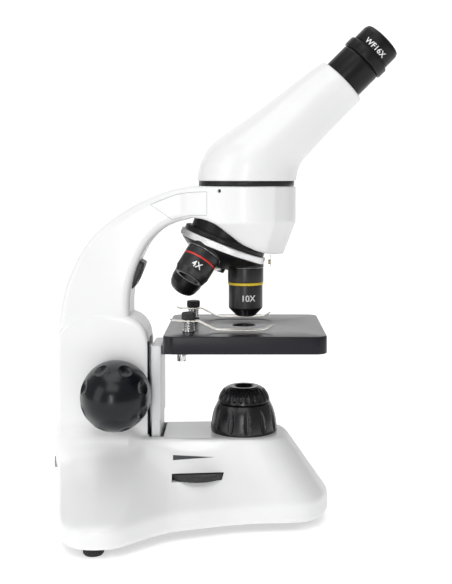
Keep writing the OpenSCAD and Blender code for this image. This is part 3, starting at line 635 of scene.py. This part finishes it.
def make_illuminator():
    place = upright(0, 0, DECK_Z)
    outer = spline([(19.2, 0), (19.35, 2.5), (18.6, 8), (17.4, 12.6), (15.75, 16.3)], 10)
    inner = [(15.4, 16.75), (14.9, 16.8), (12.6, 16.8), (12.6, 13.8), (14, 13.8), (16, 3), (16, 0)]

    def fluted(r, t, z):
        """Twelve tall almond hollows."""
        step = math.pi / 6
        turn = (t - math.radians(6) + step / 2) % step - step / 2
        along = (z - 7.6) / 6.6
        width = 1.95 * np.sqrt(np.clip(1 - along ** 2, 0, 1)) * (1 - 0.25 * along)
        across = turn * r / np.maximum(width, 0.05)
        deep = 1.25 * np.clip(1 - across ** 2, 0, 1) ** 0.7 * np.sqrt(np.clip(1 - along ** 2, 0, 1))
        return r - deep * (r > 15.3), z

    shell = revolve("illuminator_body", np.vstack([outer, inner]), place, 384, fluted, sharp=50)
    slope = spline([(15.2, 17.6), (14.9, 19.2), (14.0, 21.6), (12.4, 23.9), (10.7, 25.2)], 7)
    top = [(10.2, 25.45), (9.2, 25.75), (8.8, 26.0), (6.3, 26.0), (5.9, 25.8), (4.7, 24.8), (4.7, 23.4),
           (5, 23.4)]
    ring_profile = np.vstack([[(5, 17.2), (14.9, 17.2), (15.25, 17.35)], slope, top])

    def ribbed(r, t, z):
        """Twenty-four ribs with hollows between them."""
        up = np.clip((z - 18.3) / 1.4, 0, 1) * np.clip((25.1 - z) / 1.2, 0, 1) * (r > 9)
        wave = np.clip(np.cos(t * 24) * 1.5, -1, 1)
        deep = 0.62 * up * (0.5 - 0.5 * wave)
        return r - deep * 0.8, z - deep * 0.5

    ring = revolve("illuminator_top", ring_profile, place, 480, ribbed, sharp=50)
    return shell, ring


# ---- stage

def fine_outline(outline, spacing):
    """More points along the long straight stretches of an outline."""
    o = np.array(outline)
    out = []
    for a, b in zip(o, np.roll(o, -1, 0)):
        n = max(1, int(np.linalg.norm(b - a) / spacing))
        out += [a + (b - a) * k / n for k in range(n)]
    return np.array(out)


def make_stage():
    outline = fine_outline(rounded_rectangle(STAGE_LO[0], STAGE_HI[0], STAGE_LO[1], STAGE_HI[1], 6.0), 3)
    light_hole = (0, 0, 6.5, 0.9)
    plate = slab("stage_top", outline, STAGE_LO[2], STAGE_HI[2], 0.7, steps=4, hole=light_hole, sharp=35)
    diaphragm_recess = drill(27, -1, 3, upright(14, 11, STAGE_LO[2]), 96)
    return cut(plate, [diaphragm_recess])


def make_bracket():
    """A wide upper part, and a slightly slimmer lower part that sinks into the base."""
    lo, hi = node_box("stage_bracket")
    wide = rounded_rectangle(lo[0], hi[0], lo[1], hi[1], 0.9, 4)
    slim = rounded_rectangle(lo[0], hi[0] - 0.6, lo[1] + 0.8, hi[1] - 0.8, 0.7, 4)
    upper = slab("bracket_upper", wide, 61, hi[2], 0.8)
    lower = slab("bracket_lower", slim, lo[2], 61.4, 0.3)
    return join("stage_carrier", [upper, lower])


def clip_post(side):
    """Where a clip's post stands on the stage."""
    return np.array([-31.0, 27.0 * side, STAGE_HI[2]])


def make_clip(side):
    heel = [(-10.5, 0.9), (-9, 0.3), (-6, 0), (0, 0)]
    arm = spline([(4, 0), (5.4, -0.15), (8.5, -1.7), (13.5, -4.2), (16.5, -5.0), (21, -5.1), (38, -5.1),
                  (43, -4.5), (47.5, -2.4)], 5)
    path = np.vstack([heel, arm])
    tangent = np.gradient(path, axis=0)
    tangent /= np.linalg.norm(tangent, axis=1)[:, None]
    normal = np.column_stack([-tangent[:, 1], tangent[:, 0]])
    rings = []
    wide, thick = 2.5, 0.6
    for p, n in zip(path, normal):
        # the strip's ends are rounded in plan
        ends = min(p[0] - path[0][0], path[-1][0] - p[0])
        half = wide * math.sqrt(max(0.03, 1 - max(0, 1 - ends / wide) ** 2))
        across, up = rounded([(-half, 0), (half, 0), (half, thick), (-half, thick)], 0.15, 2).T
        rings.append(np.column_stack([p[0] + n[0] * up, across, p[1] + n[1] * up]))
    verts, faces = skin(rings)
    name = "clip_strip_left" if side < 0 else "clip_strip_right"
    return make(name, verts + clip_post(side) + (0, 0, 6), faces, sharp=50)


def knurl(count, depth, low, high, least):
    """Straight ridges round a ring, between two heights."""
    def shape(r, t, z):
        up = np.clip((z - low) / 0.25, 0, 1) * np.clip((high - z) / 0.25, 0, 1) * (r > least)
        return r - depth * up * (0.5 - 0.5 * np.cos(t * count)), z
    return shape


def make_clip_caps():
    caps = []
    for side in (-1, 1):
        profile = [(1.5, 7), (3.6, 7), (3.85, 7.15), (4, 7.4), (4, 8.2), (4, 9.2), (4, 10.3), (3.85, 10.7),
                   (3.5, 11), (2.2, 11), (1.9, 10.8), (0, 10.8), (0, 8), (1.5, 8)]
        place = upright(*clip_post(side))
        caps.append(revolve("cap", profile, place, 240, knurl(30, 0.28, 7.2, 10.6, 3.7)))
    return join("clip_cap_pair", caps)


def make_clip_springs():
    coils = []
    for side in (-1, 1):
        turns, r = 3.6, 3.0
        a = np.linspace(0, turns * 2 * math.pi, 130)
        rise = np.interp(a, [0, 4, a[-1] - 4, a[-1]], [1.55, 2.1, 5.0, 5.5])
        path = np.column_stack([r * np.cos(a), r * np.sin(a), rise])
        coils.append(wire("coil", path, 0.36, 8, upright(*clip_post(side))))
    return join("clip_coils", coils)


# ---- nosepiece and objectives

# heights along the axes of the turret and the objectives
TURRET_Z = 35.1
SEAT = 47.5
BAND = 1.6
LOW_BAND = 1.1      # the red one is narrower


def make_nosepiece_base():
    profile = [(4, 26), (21.2, 26), (21.3, 26.2), (21.3, 31.9), (23.2, 31.95), (23.5, 32.3), (24.2, 32.5),
               (24.5, 32.9), (24.6, 34.5), (24.4, 34.8), (4, 34.8)]
    return revolve("nosepiece_disc", rounded(profile, 0.2, 2), AT_TURRET, 160)


def make_turret():
    """The knurled ring with its domed face, and the three round seats on it."""
    z = TURRET_Z
    rim = [(4.05, z), (25.4, z), (25.8, z + 0.2), (26, z + 0.5), (26, z + 1.2), (26, z + 2.0), (26, z + 2.8),
           (26, z + 3.4), (25.8, z + 3.8), (25.4, z + 4), (24.9, z + 4.05)]
    dome = spline([(24.6, z + 4.2), (23.9, z + 5.2), (20, z + 8.2), (14, z + 11.6), (9, 49.3)], 5)
    profile = np.vstack([rim, dome, [(8.6, 49.5), (4.05, 49.5)]])
    body = revolve("turret_ring", profile, AT_TURRET, 720, knurl(150, 0.13, z + 0.3, z + 3.7, 25.9), sharp=40)
    seat_profile = rounded([(9.66, 42.2), (10.6, 42.2), (10.6, SEAT), (9.66, SEAT)], 0.12, 2)
    bore_profile = [(0, 30), (9.65, 30), (9.65, SEAT), (11, SEAT), (11, 60), (0, 60)]
    seats = join("turret_seats", [revolve("seat", seat_profile, at_objective(kind), 96) for kind in TURNS])
    body = cut(body, [revolve("cutter", bore_profile, at_objective(kind), 96) for kind in TURNS])
    return body, seats


def objective(kind, profile):
    """An objective, from the profile of its outside and then of its bore, with heights from its seat."""
    up = [(r, SEAT + z) for r, z in [(9.6, -4.5), (9.6, 0)] + profile]
    return revolve("objective_" + kind + "_body", rounded(up, 0.18, 2), at_objective(kind), 160, sharp=30)


def band(kind, z, r, wide):
    """A coloured ring from height z above the seat."""
    z += SEAT
    profile = [(r - 0.9, z), (r - 0.25, z), (r, z + 0.25), (r, z + wide - 0.25), (r - 0.25, z + wide),
               (r - 0.9, z + wide)]
    return revolve("band_" + kind, rounded(profile, 0.15, 2), at_objective(kind), 128)


def make_objectives():
    low, mid, high = 4.6, 8.6, 8.6
    made = {}
    made["low"] = objective("low", [
        (9.7, 0), (10, 0.3), (10, low - 0.5), (9.85, low - 0.3), (9.85, low), (9.1, low),
        (9.1, low + LOW_BAND), (9.85, low + LOW_BAND), (10, low + LOW_BAND + 0.3), (10, 13.2), (9.5, 14.4),
        (8.9, 16.3), (8.5, 16.7), (7.9, 16.9), (6.6, 16.9), (6.3, 16.6), (5, 14.2), (5, 12.4), (3.8, 12.4),
        (3.8, -4.5)])
    made["mid"] = objective("mid", [
        (10.1, 0), (10.45, 0.35), (10.45, mid - 0.4), (10.2, mid), (9.5, mid), (9.5, mid + BAND),
        (9.85, mid + BAND), (9.95, mid + BAND + 0.3), (9.95, 23.5), (9.6, 24.1), (5.7, 28.2), (5.1, 28.5),
        (3.7, 28.5), (3.4, 28.1), (3.4, 27), (3.8, 27), (3.8, -4.5)])
    made["high"] = objective("high", [
        (9.5, 0), (9.75, 0.3), (9.75, high - 0.3), (9.5, high), (8.8, high), (8.8, high + BAND),
        (9.4, high + BAND), (9.5, high + BAND + 0.3), (9.5, 24.3), (9.2, 25.5), (8.7, 27.9), (7.6, 29.9),
        (6, 30.9), (4.6, 31.1), (2.6, 31.1), (1.8, 30.6), (1.8, 29.9), (3.8, 29.9), (3.8, -4.5)])
    sizes = (("low", low, 10.02, LOW_BAND), ("mid", mid, 10.42, BAND), ("high", high, 9.72, BAND))
    return made, {size[0]: band(*size) for size in sizes}


# ---- lamp, panel lines and printed mark

def make_bezel():
    """The round-nosed black frame of the lamp, sunk in the arm's inner curve."""
    body = slab("bezel_body", rounded(BEZEL, 0.9, 3), -9.0, 9.0, 1.2, side_place(), steps=4, sharp=50)
    bezel = cut(body, [drill(3.6, -12, 12, AT_LAMP)])
    collar = rounded([(3.62, 0.1), (5.0, 0.1), (4.8, 0.9), (3.9, 0.9)], 0.2, 2)
    return bezel, revolve("collar", collar, AT_LAMP, 64)


def on_surface(obj, x, z, side=-1):
    """The point where a line along y first meets an object's side, in millimetres, and the normal there."""
    start = Vector(to_world([[x, 120 * side, z]])[0])
    where, normal = obj.ray_cast(start, Vector((0, -side, 0)))[1:3]
    return np.array(where) / MM - np.array([AXIS_X / MM, 0, 0]), np.array(normal)


def decal(name, obj, outline, lift=0.06, columns=24, rows=4):
    """A thin skin lying on an object's near side. outline gives its lower and upper edge at t from 0 to 1."""
    top, bottom = [], []
    for j in range(rows + 1):
        for i in range(columns + 1):
            (x, low), (x, high) = outline(i / columns)
            w, n = on_surface(obj, x, low + (high - low) * j / rows)
            top.append(w + n * lift)
            bottom.append(w - n * 0.15)
    count = len(top)
    faces = []

    def at(i, j):
        return j * (columns + 1) + i

    for j in range(rows):
        for i in range(columns):
            q = (at(i, j), at(i + 1, j), at(i + 1, j + 1), at(i, j + 1))
            faces += [q, tuple(k + count for k in reversed(q))]
    rim = [at(i, 0) for i in range(columns)] + [at(columns, j) for j in range(rows)]
    rim += [at(i, rows) for i in range(columns, 0, -1)] + [at(0, j) for j in range(rows, 0, -1)]
    faces += [(a, a + count, b + count, b) for a, b in zip(rim, rim[1:] + rim[:1])]
    return make(name, np.array(top + bottom), faces, sharp=40)


def wedge(t):
    """The lower and the upper edge of the printed brightness mark, at t from 0 to 1 along it."""
    x = -40.2 + 23.4 * t
    return (x, 40.1 + 1.9 * t * 0.75), (x, 42.7 - 1.15 * t)


def make_panel_lines(arm):
    """The fine moulded outline of a panel on each side of the arm."""
    top = spline([(-20.9, 192.0), (-36.7, 190.6), (-53.3, 184.6)], 10)
    bottom = spline([(-41, 176), (-31, 178.3), (-20.9, 178.6)], 8)
    outline = fine_outline(rounded(np.vstack([top, bottom]), 0.6, 2), 0.8)
    lines = []
    for side in (-1, 1):
        points = [on_surface(arm, x, z, side)[0] for x, z in outline]
        lines.append(wire("panel_line", points + points[:1], 0.16, 6))
    return join("panel_lines", lines)


# ---- materials

def node_tree(name):
    mat = bpy.data.materials.new(name)
    mat.use_nodes = True
    return mat, mat.node_tree, mat.node_tree.nodes["Principled BSDF"]


def node(tree, kind, inputs):
    """A new shader node. Each input, by its name or number, takes a value or a link."""
    n = tree.nodes.new("ShaderNode" + kind)
    for key, value in inputs.items():
        if isinstance(value, bpy.types.NodeSocket):
            tree.links.new(value, n.inputs[key])
        else:
            n.inputs[key].default_value = value
    return n


def noise(tree, scale, detail=3.0, rough=0.55, stretch=(1, 1, 1)):
    """Noise in the object's own space, so it stays on the piece when it moves."""
    coord = node(tree, "TexCoord", {}).outputs["Object"]
    place = node(tree, "Mapping", {"Vector": coord, "Scale": stretch}).outputs["Vector"]
    n = node(tree, "TexNoise", {"Vector": place, "Scale": scale, "Detail": detail, "Roughness": rough})
    return n.outputs["Fac"]


def ramp(tree, fac, stops):
    r = node(tree, "ValToRGB", {"Fac": fac})
    for e, (position, colour) in zip(r.color_ramp.elements, stops):
        e.position = position
        e.color = (*colour, 1)
    return r.outputs["Color"]


def spread(tree, fac, low, high):
    """Noise turned into values from low to high."""
    limits = {"From Min": 0.25, "From Max": 0.75, "To Min": low, "To Max": high}
    return node(tree, "MapRange", {"Value": fac, **limits}).outputs["Result"]


def bump(tree, bsdf, fac, strength, distance, under=None):
    b = node(tree, "Bump", {"Strength": strength, "Distance": distance, "Height": fac})
    if under:
        tree.links.new(under, b.inputs["Normal"])
    tree.links.new(b.outputs["Normal"], bsdf.inputs["Normal"])
    return b.outputs["Normal"]


def edge_wear(tree, amount):
    """Bright on sharp edges, broken up by noise."""
    point = node(tree, "NewGeometry", {}).outputs["Pointiness"]
    edge = node(tree, "MapRange", {"Value": point, "From Min": 0.53, "From Max": 0.62, "To Max": amount})
    by = node(tree, "Math", {0: edge.outputs["Result"], 1: noise(tree, 900, 4)})
    by.operation = "MULTIPLY"
    return by.outputs["Value"]


def mix(tree, fac, a, b):
    """The link a, turned into the colour b by fac."""
    m = tree.nodes.new("ShaderNodeMix")
    m.data_type = "RGBA"
    tree.links.new(fac, m.inputs["Factor"])
    tree.links.new(a, m.inputs["A"])
    m.inputs["B"].default_value = (*b, 1)
    return m.outputs["Result"]


def paint(name, dark, light, rough, coat, peel, peel_scale, speck=None, wear=None, specular=0.5, vary=0.045):
    """Sprayed or moulded finish: slow shifts of tone, fine orange peel, gloss that varies a little.
    speck and wear are a colour and an amount, for grains in the paint and for bright edges."""
    mat, tree, bsdf = node_tree(name)
    tone = ramp(tree, noise(tree, 14, 4), [(0.3, dark), (0.7, light)])
    if speck:
        tone = mix(tree, spread(tree, noise(tree, 2600, 2), 0, speck[1]), tone, speck[0])
    if wear:
        tone = mix(tree, edge_wear(tree, wear[1]), tone, wear[0])
    tree.links.new(tone, bsdf.inputs["Base Color"])
    tree.links.new(spread(tree, noise(tree, 60, 5), rough - vary, rough + vary), bsdf.inputs["Roughness"])
    bsdf.inputs["Specular IOR Level"].default_value = specular
    if coat:
        bsdf.inputs["Coat Weight"].default_value = coat
        bsdf.inputs["Coat Roughness"].default_value = 0.08
    under = bump(tree, bsdf, noise(tree, peel_scale, 2), peel, 0.0002)
    bump(tree, bsdf, noise(tree, 5000, 2), peel * 0.7, 0.00005, under)
    return mat


def metal(name, dark, light, rough, brushed):
    """Bare or plated metal with fine lines along one direction."""
    mat, tree, bsdf = node_tree(name)
    lines = noise(tree, 700, 5, 0.65, brushed)
    tree.links.new(ramp(tree, lines, [(0.3, dark), (0.7, light)]), bsdf.inputs["Base Color"])
    bsdf.inputs["Metallic"].default_value = 1.0
    tree.links.new(spread(tree, noise(tree, 120, 4), rough - 0.06, rough + 0.08), bsdf.inputs["Roughness"])
    under = bump(tree, bsdf, lines, 0.12, 0.00008)
    bump(tree, bsdf, noise(tree, 2500, 3), 0.05, 0.00005, under)
    return mat


def glass(name, tint):
    mat, tree, bsdf = node_tree(name)
    tone = ramp(tree, noise(tree, 40, 2), [(0.2, tuple(c * 0.97 for c in tint)), (0.8, tint)])
    tree.links.new(tone, bsdf.inputs["Base Color"])
    tree.links.new(spread(tree, noise(tree, 300, 3), 0.021, 0.048), bsdf.inputs["Roughness"])
    bsdf.inputs["Transmission Weight"].default_value = 0.85
    bsdf.inputs["IOR"].default_value = 1.5
    bsdf.inputs["Coat Weight"].default_value = 0.3
    bump(tree, bsdf, noise(tree, 200, 2), 0.01, 0.0001)
    return mat


MATERIALS = {
    "white_body": paint("white_enamel", (0.80, 0.80, 0.805), (0.86, 0.86, 0.862), 0.34, 0.25, 0.035, 700,
                        speck=((0.7, 0.7, 0.7), 0.05)),
    "bracket_paint": paint("bracket_enamel", (0.66, 0.665, 0.675), (0.72, 0.725, 0.735), 0.4, 0.1, 0.05, 800),
    "plate": paint("plate_crackle", (0.1, 0.1, 0.105), (0.16, 0.16, 0.165), 0.55, 0, 0.25, 1500),
    "black_plastic": paint("black_moulding", (0.012, 0.012, 0.013), (0.022, 0.022, 0.024), 0.42, 0, 0.1, 2200,
                           wear=((0.09, 0.09, 0.09), 0.5)),
    "rubber": paint("foot_rubber", (0.018, 0.018, 0.018), (0.035, 0.034, 0.033), 0.75, 0, 0.3, 1800,
                    specular=0.3),
    "steel": metal("bright_steel", (0.5, 0.5, 0.49), (0.72, 0.71, 0.7), 0.25, (1, 1, 9)),
    "circuit_board": paint("solder_mask", (0.008, 0.07, 0.03), (0.012, 0.11, 0.045), 0.3, 0.4, 0.1, 1200,
                           speck=((0.45, 0.35, 0.1), 0.25)),
    "pot_body": paint("pot_blue", (0.02, 0.05, 0.12), (0.03, 0.07, 0.16), 0.5, 0, 0.1, 1600),
    "socket_metal": metal("socket_nickel", (0.22, 0.21, 0.19), (0.4, 0.385, 0.35), 0.28, (9, 1, 1)),
    "illuminator_black": paint("illuminator_gloss", (0.005, 0.005, 0.006), (0.009, 0.009, 0.011), 0.26, 0,
                               0.03, 1100, wear=((0.1, 0.1, 0.1), 0.4)),
    "knob_black": paint("knob_gloss", (0.004, 0.0045, 0.006), (0.007, 0.008, 0.011), 0.24, 0, 0.03, 900,
                        wear=((0.05, 0.05, 0.055), 0.3), specular=0.32, vary=0.02),
    "clear_glass": glass("optical_glass", (0.93, 0.96, 0.98)),
    "lamp_diffuser": paint("milky_lens", (0.75, 0.74, 0.66), (0.85, 0.84, 0.76), 0.25, 0.5, 0.05, 900),
    "aluminium": metal("turned_aluminium", (0.55, 0.55, 0.55), (0.78, 0.78, 0.78), 0.3, (1, 1, 12)),
    "brass": metal("worn_brass", (0.42, 0.29, 0.11), (0.66, 0.49, 0.22), 0.3, (6, 1, 1)),
    "stage_paint": paint("stage_enamel", (0.010, 0.010, 0.014), (0.016, 0.015, 0.020), 0.26, 0, 0.05, 1300,
                         wear=((0.25, 0.25, 0.26), 0.6), specular=0.2, vary=0.012),
    # black_metal is the real black of the tube, eyepiece and nosepiece, and also painted shade on the
    # column's front face behind the bracket
    "black_metal": paint("anodised_black_and_painted_shade", (0.006, 0.006, 0.007), (0.011, 0.011, 0.012), 0.3, 0, 0.05, 2000,
                         wear=((0.25, 0.25, 0.25), 0.5), specular=0.2),
    "turret_chrome": metal("knurl_chrome", (0.62, 0.62, 0.62), (0.85, 0.85, 0.85), 0.34, (1, 1, 5)),
    "objective_black": paint("objective_satin", (0.006, 0.006, 0.007), (0.011, 0.011, 0.012), 0.34, 0, 0.04,
                             2400, wear=((0.3, 0.3, 0.3), 0.5)),
    "red_band": paint("red_enamel", (0.55, 0.015, 0.01), (0.68, 0.03, 0.02), 0.35, 0.3, 0.05, 1800),
    "yellow_band": paint("yellow_enamel", (0.72, 0.50, 0.01), (0.82, 0.60, 0.03), 0.35, 0.3, 0.05, 1800),
    "blue_band": paint("blue_enamel", (0.02, 0.12, 0.55), (0.03, 0.18, 0.68), 0.35, 0.3, 0.05, 1800),
}
WHITE_INK = paint("white_ink", (0.78, 0.78, 0.78), (0.88, 0.88, 0.88), 0.5, 0, 0.15, 3000)
GREY_INK = paint("grey_ink", (0.035, 0.035, 0.038), (0.06, 0.06, 0.065), 0.5, 0, 0.15, 3000)
SEAM_GREY = paint("seam_shade", (0.42, 0.42, 0.43), (0.5, 0.5, 0.51), 0.55, 0, 0.1, 3000)
CLIP_STEEL = metal("clip_steel", (0.72, 0.69, 0.63), (0.9, 0.88, 0.83), 0.33, (1, 9, 1))


def place_piece(obj, body, slot_name, *nodes, mat=None):
    """Gives a piece its material (the one for the record's slot, unless mat is given), puts it under its
    body, and hides the CAD nodes that it stands for.
    """
    obj.data.materials.clear()
    obj.data.materials.append(mat or MATERIALS[slot_name])
    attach(obj, body)
    if nodes:
        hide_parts(*nodes)
    return obj


def blacken(obj, is_black):
    """Paints the faces black where is_black(centre, normal) holds, with the centre in millimetres."""
    obj.data.materials.append(MATERIALS["black_metal"])
    for p in obj.data.polygons:
        p.material_index = int(is_black((p.center - Vector((AXIS_X, 0, 0))) / MM, p.normal))


def off_axis(point):
    return math.hypot(point.x, point.y)


def soften(name, width):
    """Rounds a carried-over CAD node's edges. Its glTF mesh is welded first."""
    obj = frame["nodes"][name]
    obj.modifiers.new("weld", "WELD").merge_threshold = 1e-5
    b = obj.modifiers.new("round", "BEVEL")
    b.width = width * MM
    b.segments = 2
    b.limit_method = "ANGLE"
    b.angle_limit = math.radians(35)
    b.harden_normals = True
    obj.data.shade_smooth()


# ---- putting it together

# carried-over CAD nodes whose edges show, and how far they are rounded
SOFT_EDGES = {
    "rubber_feet": 0.5, "base_plate": 0.4, "battery_door": 0.4, "plate_screws": 0.2, "brightness_wheel": 0.12,
    "dc_jack": 0.15, "stage_shelf": 0.3, "stage_screws": 0.25, "guide_rails": 0.2, "stage_carriage": 0.3,
    "diaphragm_disc": 0.15, "diaphragm_screw": 0.2, "clip_posts": 0.2, "nosepiece_screw": 0.25,
    "detent_spring": 0.08, "head_ring": 0.25, "head_screw": 0.1, "focus_shaft": 0.2, "shaft_bushes": 0.15}


def build():
    for part in frame["record"]["subparts"]:
        materials = frame["nodes"][part["node"]].data.materials
        materials.clear()
        materials.append(MATERIALS[part["material_slot"]])

    stand = place_piece(make_stand(), "stand", "white_body", "base_casting", "column_casting")
    # Painted shade: the column's front face, from just under the deck to the bracket's top, takes the black
    # paint, for the dark gap behind the stage bracket
    behind_bracket = DECK_Z - 6, 106
    blacken(stand, lambda c, n: n.x > 0.7 and abs(c.x - COLUMN_FRONT) < 0.9
            and behind_bracket[0] < c.z < behind_bracket[1])
    arm = place_piece(make_arm(), "stand", "white_body", "arm_casting")
    place_piece(make_head(), "head", "white_body", "head_housing")
    place_piece(make_drawtube(), "head", "black_metal", "drawtube")
    place_piece(make_eyepiece(), "eyepiece", "black_metal", "eyepiece_body")
    mark = wrapped_text("eyepiece_mark", "WF16X", 3.3, AT_TUBE, EYE_R, 25.4, 1)
    place_piece(mark, "eyepiece", "black_metal", mat=WHITE_INK)
    place_piece(dome_lens("eye_glass", AT_TUBE, 10.2, 26, 1.6, 2.6), "eyepiece", "clear_glass", "eye_lens")

    place_piece(make_knob(-1), "focus_knobs", "knob_black", "focus_knob_left")
    place_piece(make_knob(1), "focus_knobs", "knob_black", "focus_knob_right")
    shell, ring = make_illuminator()
    place_piece(shell, "stand", "illuminator_black", "illuminator_shell")
    place_piece(ring, "light_ring", "illuminator_black", "illuminator_ring")

    place_piece(make_stage(), "stage", "stage_paint", "stage_plate")
    place_piece(make_bracket(), "stage", "bracket_paint", "stage_bracket")
    place_piece(make_clip(-1), "left_clip", "steel", "clip_left", mat=CLIP_STEEL)
    place_piece(make_clip(1), "right_clip", "steel", "clip_right", mat=CLIP_STEEL)
    place_piece(make_clip_caps(), "stage", "black_plastic", "clip_caps")
    place_piece(make_clip_springs(), "stage", "steel", "clip_springs")

    place_piece(make_nosepiece_base(), "stand", "black_metal", "nosepiece_base")
    turret, seats = make_turret()
    place_piece(turret, "turret", "turret_chrome", "nosepiece_turret")
    place_piece(seats, "turret", "turret_chrome", "nosepiece_turret")
    from_turret = AT_TURRET.inverted()
    from_seats = [at_objective(kind).inverted() for kind in TURNS]
    blacken(turret, lambda c, n: (from_turret @ c).z > TURRET_Z + 4.02)
    blacken(seats, lambda c, n: min((m @ c for m in from_seats), key=off_axis).z < SEAT - 0.7)
    bodies, bands = make_objectives()
    for kind, slot_name in (("low", "red_band"), ("mid", "yellow_band"), ("high", "blue_band")):
        place_piece(bodies[kind], "turret", "objective_black", "objective_" + kind)
        place_piece(bands[kind], "turret", slot_name, "ring_" + kind)
    marks = (("low", "4X", 10, 57.6, 0), ("mid", "10X", 9.95, 65.2, 0.16), ("high", "40X", 9.5, 63.6, 0))
    for kind, words, r, z, aside in marks:
        mark = wrapped_text(kind + "_mark", words, 3.6, at_objective(kind), r, z, -1, (aside, -1, 0))
        place_piece(mark, "turret", "objective_black", mat=WHITE_INK)

    bezel, collar = make_bezel()
    place_piece(bezel, "stand", "black_plastic", "lamp_bezel")
    place_piece(collar, "stand", "black_plastic")

    place_piece(make_panel_lines(arm), "stand", "white_body", mat=SEAM_GREY)
    place_piece(decal("brightness_wedge", stand, wedge), "stand", "black_plastic", mat=GREY_INK)

    for name, width in SOFT_EDGES.items():
        soften(name, width)


build()


# ---- floor, light and camera

def make_floor():
    """A sweep: the floor runs back and curves up into a wall. It glows a little, as a lit backdrop does."""
    curve = [(1.2 + 0.8 * math.sin(t), 0.8 - 0.8 * math.cos(t)) for t in np.radians(np.linspace(6, 90, 15))]
    sweep = [(-0.9, 0), (1.2, 0)] + curve + [(2.0, 4.0)]
    verts = [(x, y, z) for y, z in sweep for x in (-1.6, 1.6)]
    mesh = bpy.data.meshes.new("floor")
    mesh.from_pydata(verts, [], [(2 * i, 2 * i + 1, 2 * i + 3, 2 * i + 2) for i in range(len(sweep) - 1)])
    shade(mesh)
    paper = paint("floor_paper", (0.84, 0.84, 0.84), (0.86, 0.86, 0.86), 0.9, 0, 0.02, 300, specular=0.1)
    glow = paper.node_tree.nodes["Principled BSDF"].inputs
    glow["Emission Color"].default_value = (1, 1, 1, 1)
    glow["Emission Strength"].default_value = 0.5
    mesh.materials.append(paper)
    add("floor", mesh)


def softbox(name, at, size_x, size_y, power):
    """A rectangular lamp, in metres and watts, that points at the microscope's lower half."""
    light = bpy.data.lights.new(name, "AREA")
    light.shape = "RECTANGLE"
    light.size, light.size_y = size_x, size_y
    light.energy = power
    obj = add(name, light)
    obj.location = at
    obj.rotation_euler = (Vector((0, 0, 0.14)) - Vector(at)).to_track_quat("-Z", "Y").to_euler()


def make_lights():
    world = bpy.data.worlds.new("studio")
    bpy.context.scene.world = world
    world.use_nodes = True
    background = world.node_tree.nodes["Background"].inputs
    background["Color"].default_value = (1, 1, 1, 1)
    background["Strength"].default_value = 0.3
    softbox("left_softbox", (-1.5, -1.0, 0.7), 1.0, 1.6, 8)
    softbox("front_softbox", (-0.2, -1.9, 0.35), 0.16, 0.9, 6)
    softbox("high_softbox", (-0.1, -1.3, 1.6), 1.4, 1.0, 9.2)
    softbox("top_softbox", (-0.2, -0.1, 1.8), 1.2, 1.2, 9)


def make_camera():
    """The photo's view: level with the foot of the head, nearly square on to the side."""
    data = bpy.data.cameras.new("camera")
    data.lens = 61.8
    data.sensor_width = 36
    data.sensor_fit = "AUTO"
    data.shift_x, data.shift_y = -0.0307, -0.138
    data.clip_end = 100
    camera = add("camera", data)
    camera.location = (AXIS_X, -586.6 * MM, 200.6 * MM)
    camera.rotation_euler = (math.radians(88), 0, 0)
    bpy.context.scene.camera = camera
    bpy.context.scene.view_settings.view_transform = "Standard"


make_floor()
make_lights()
make_camera()
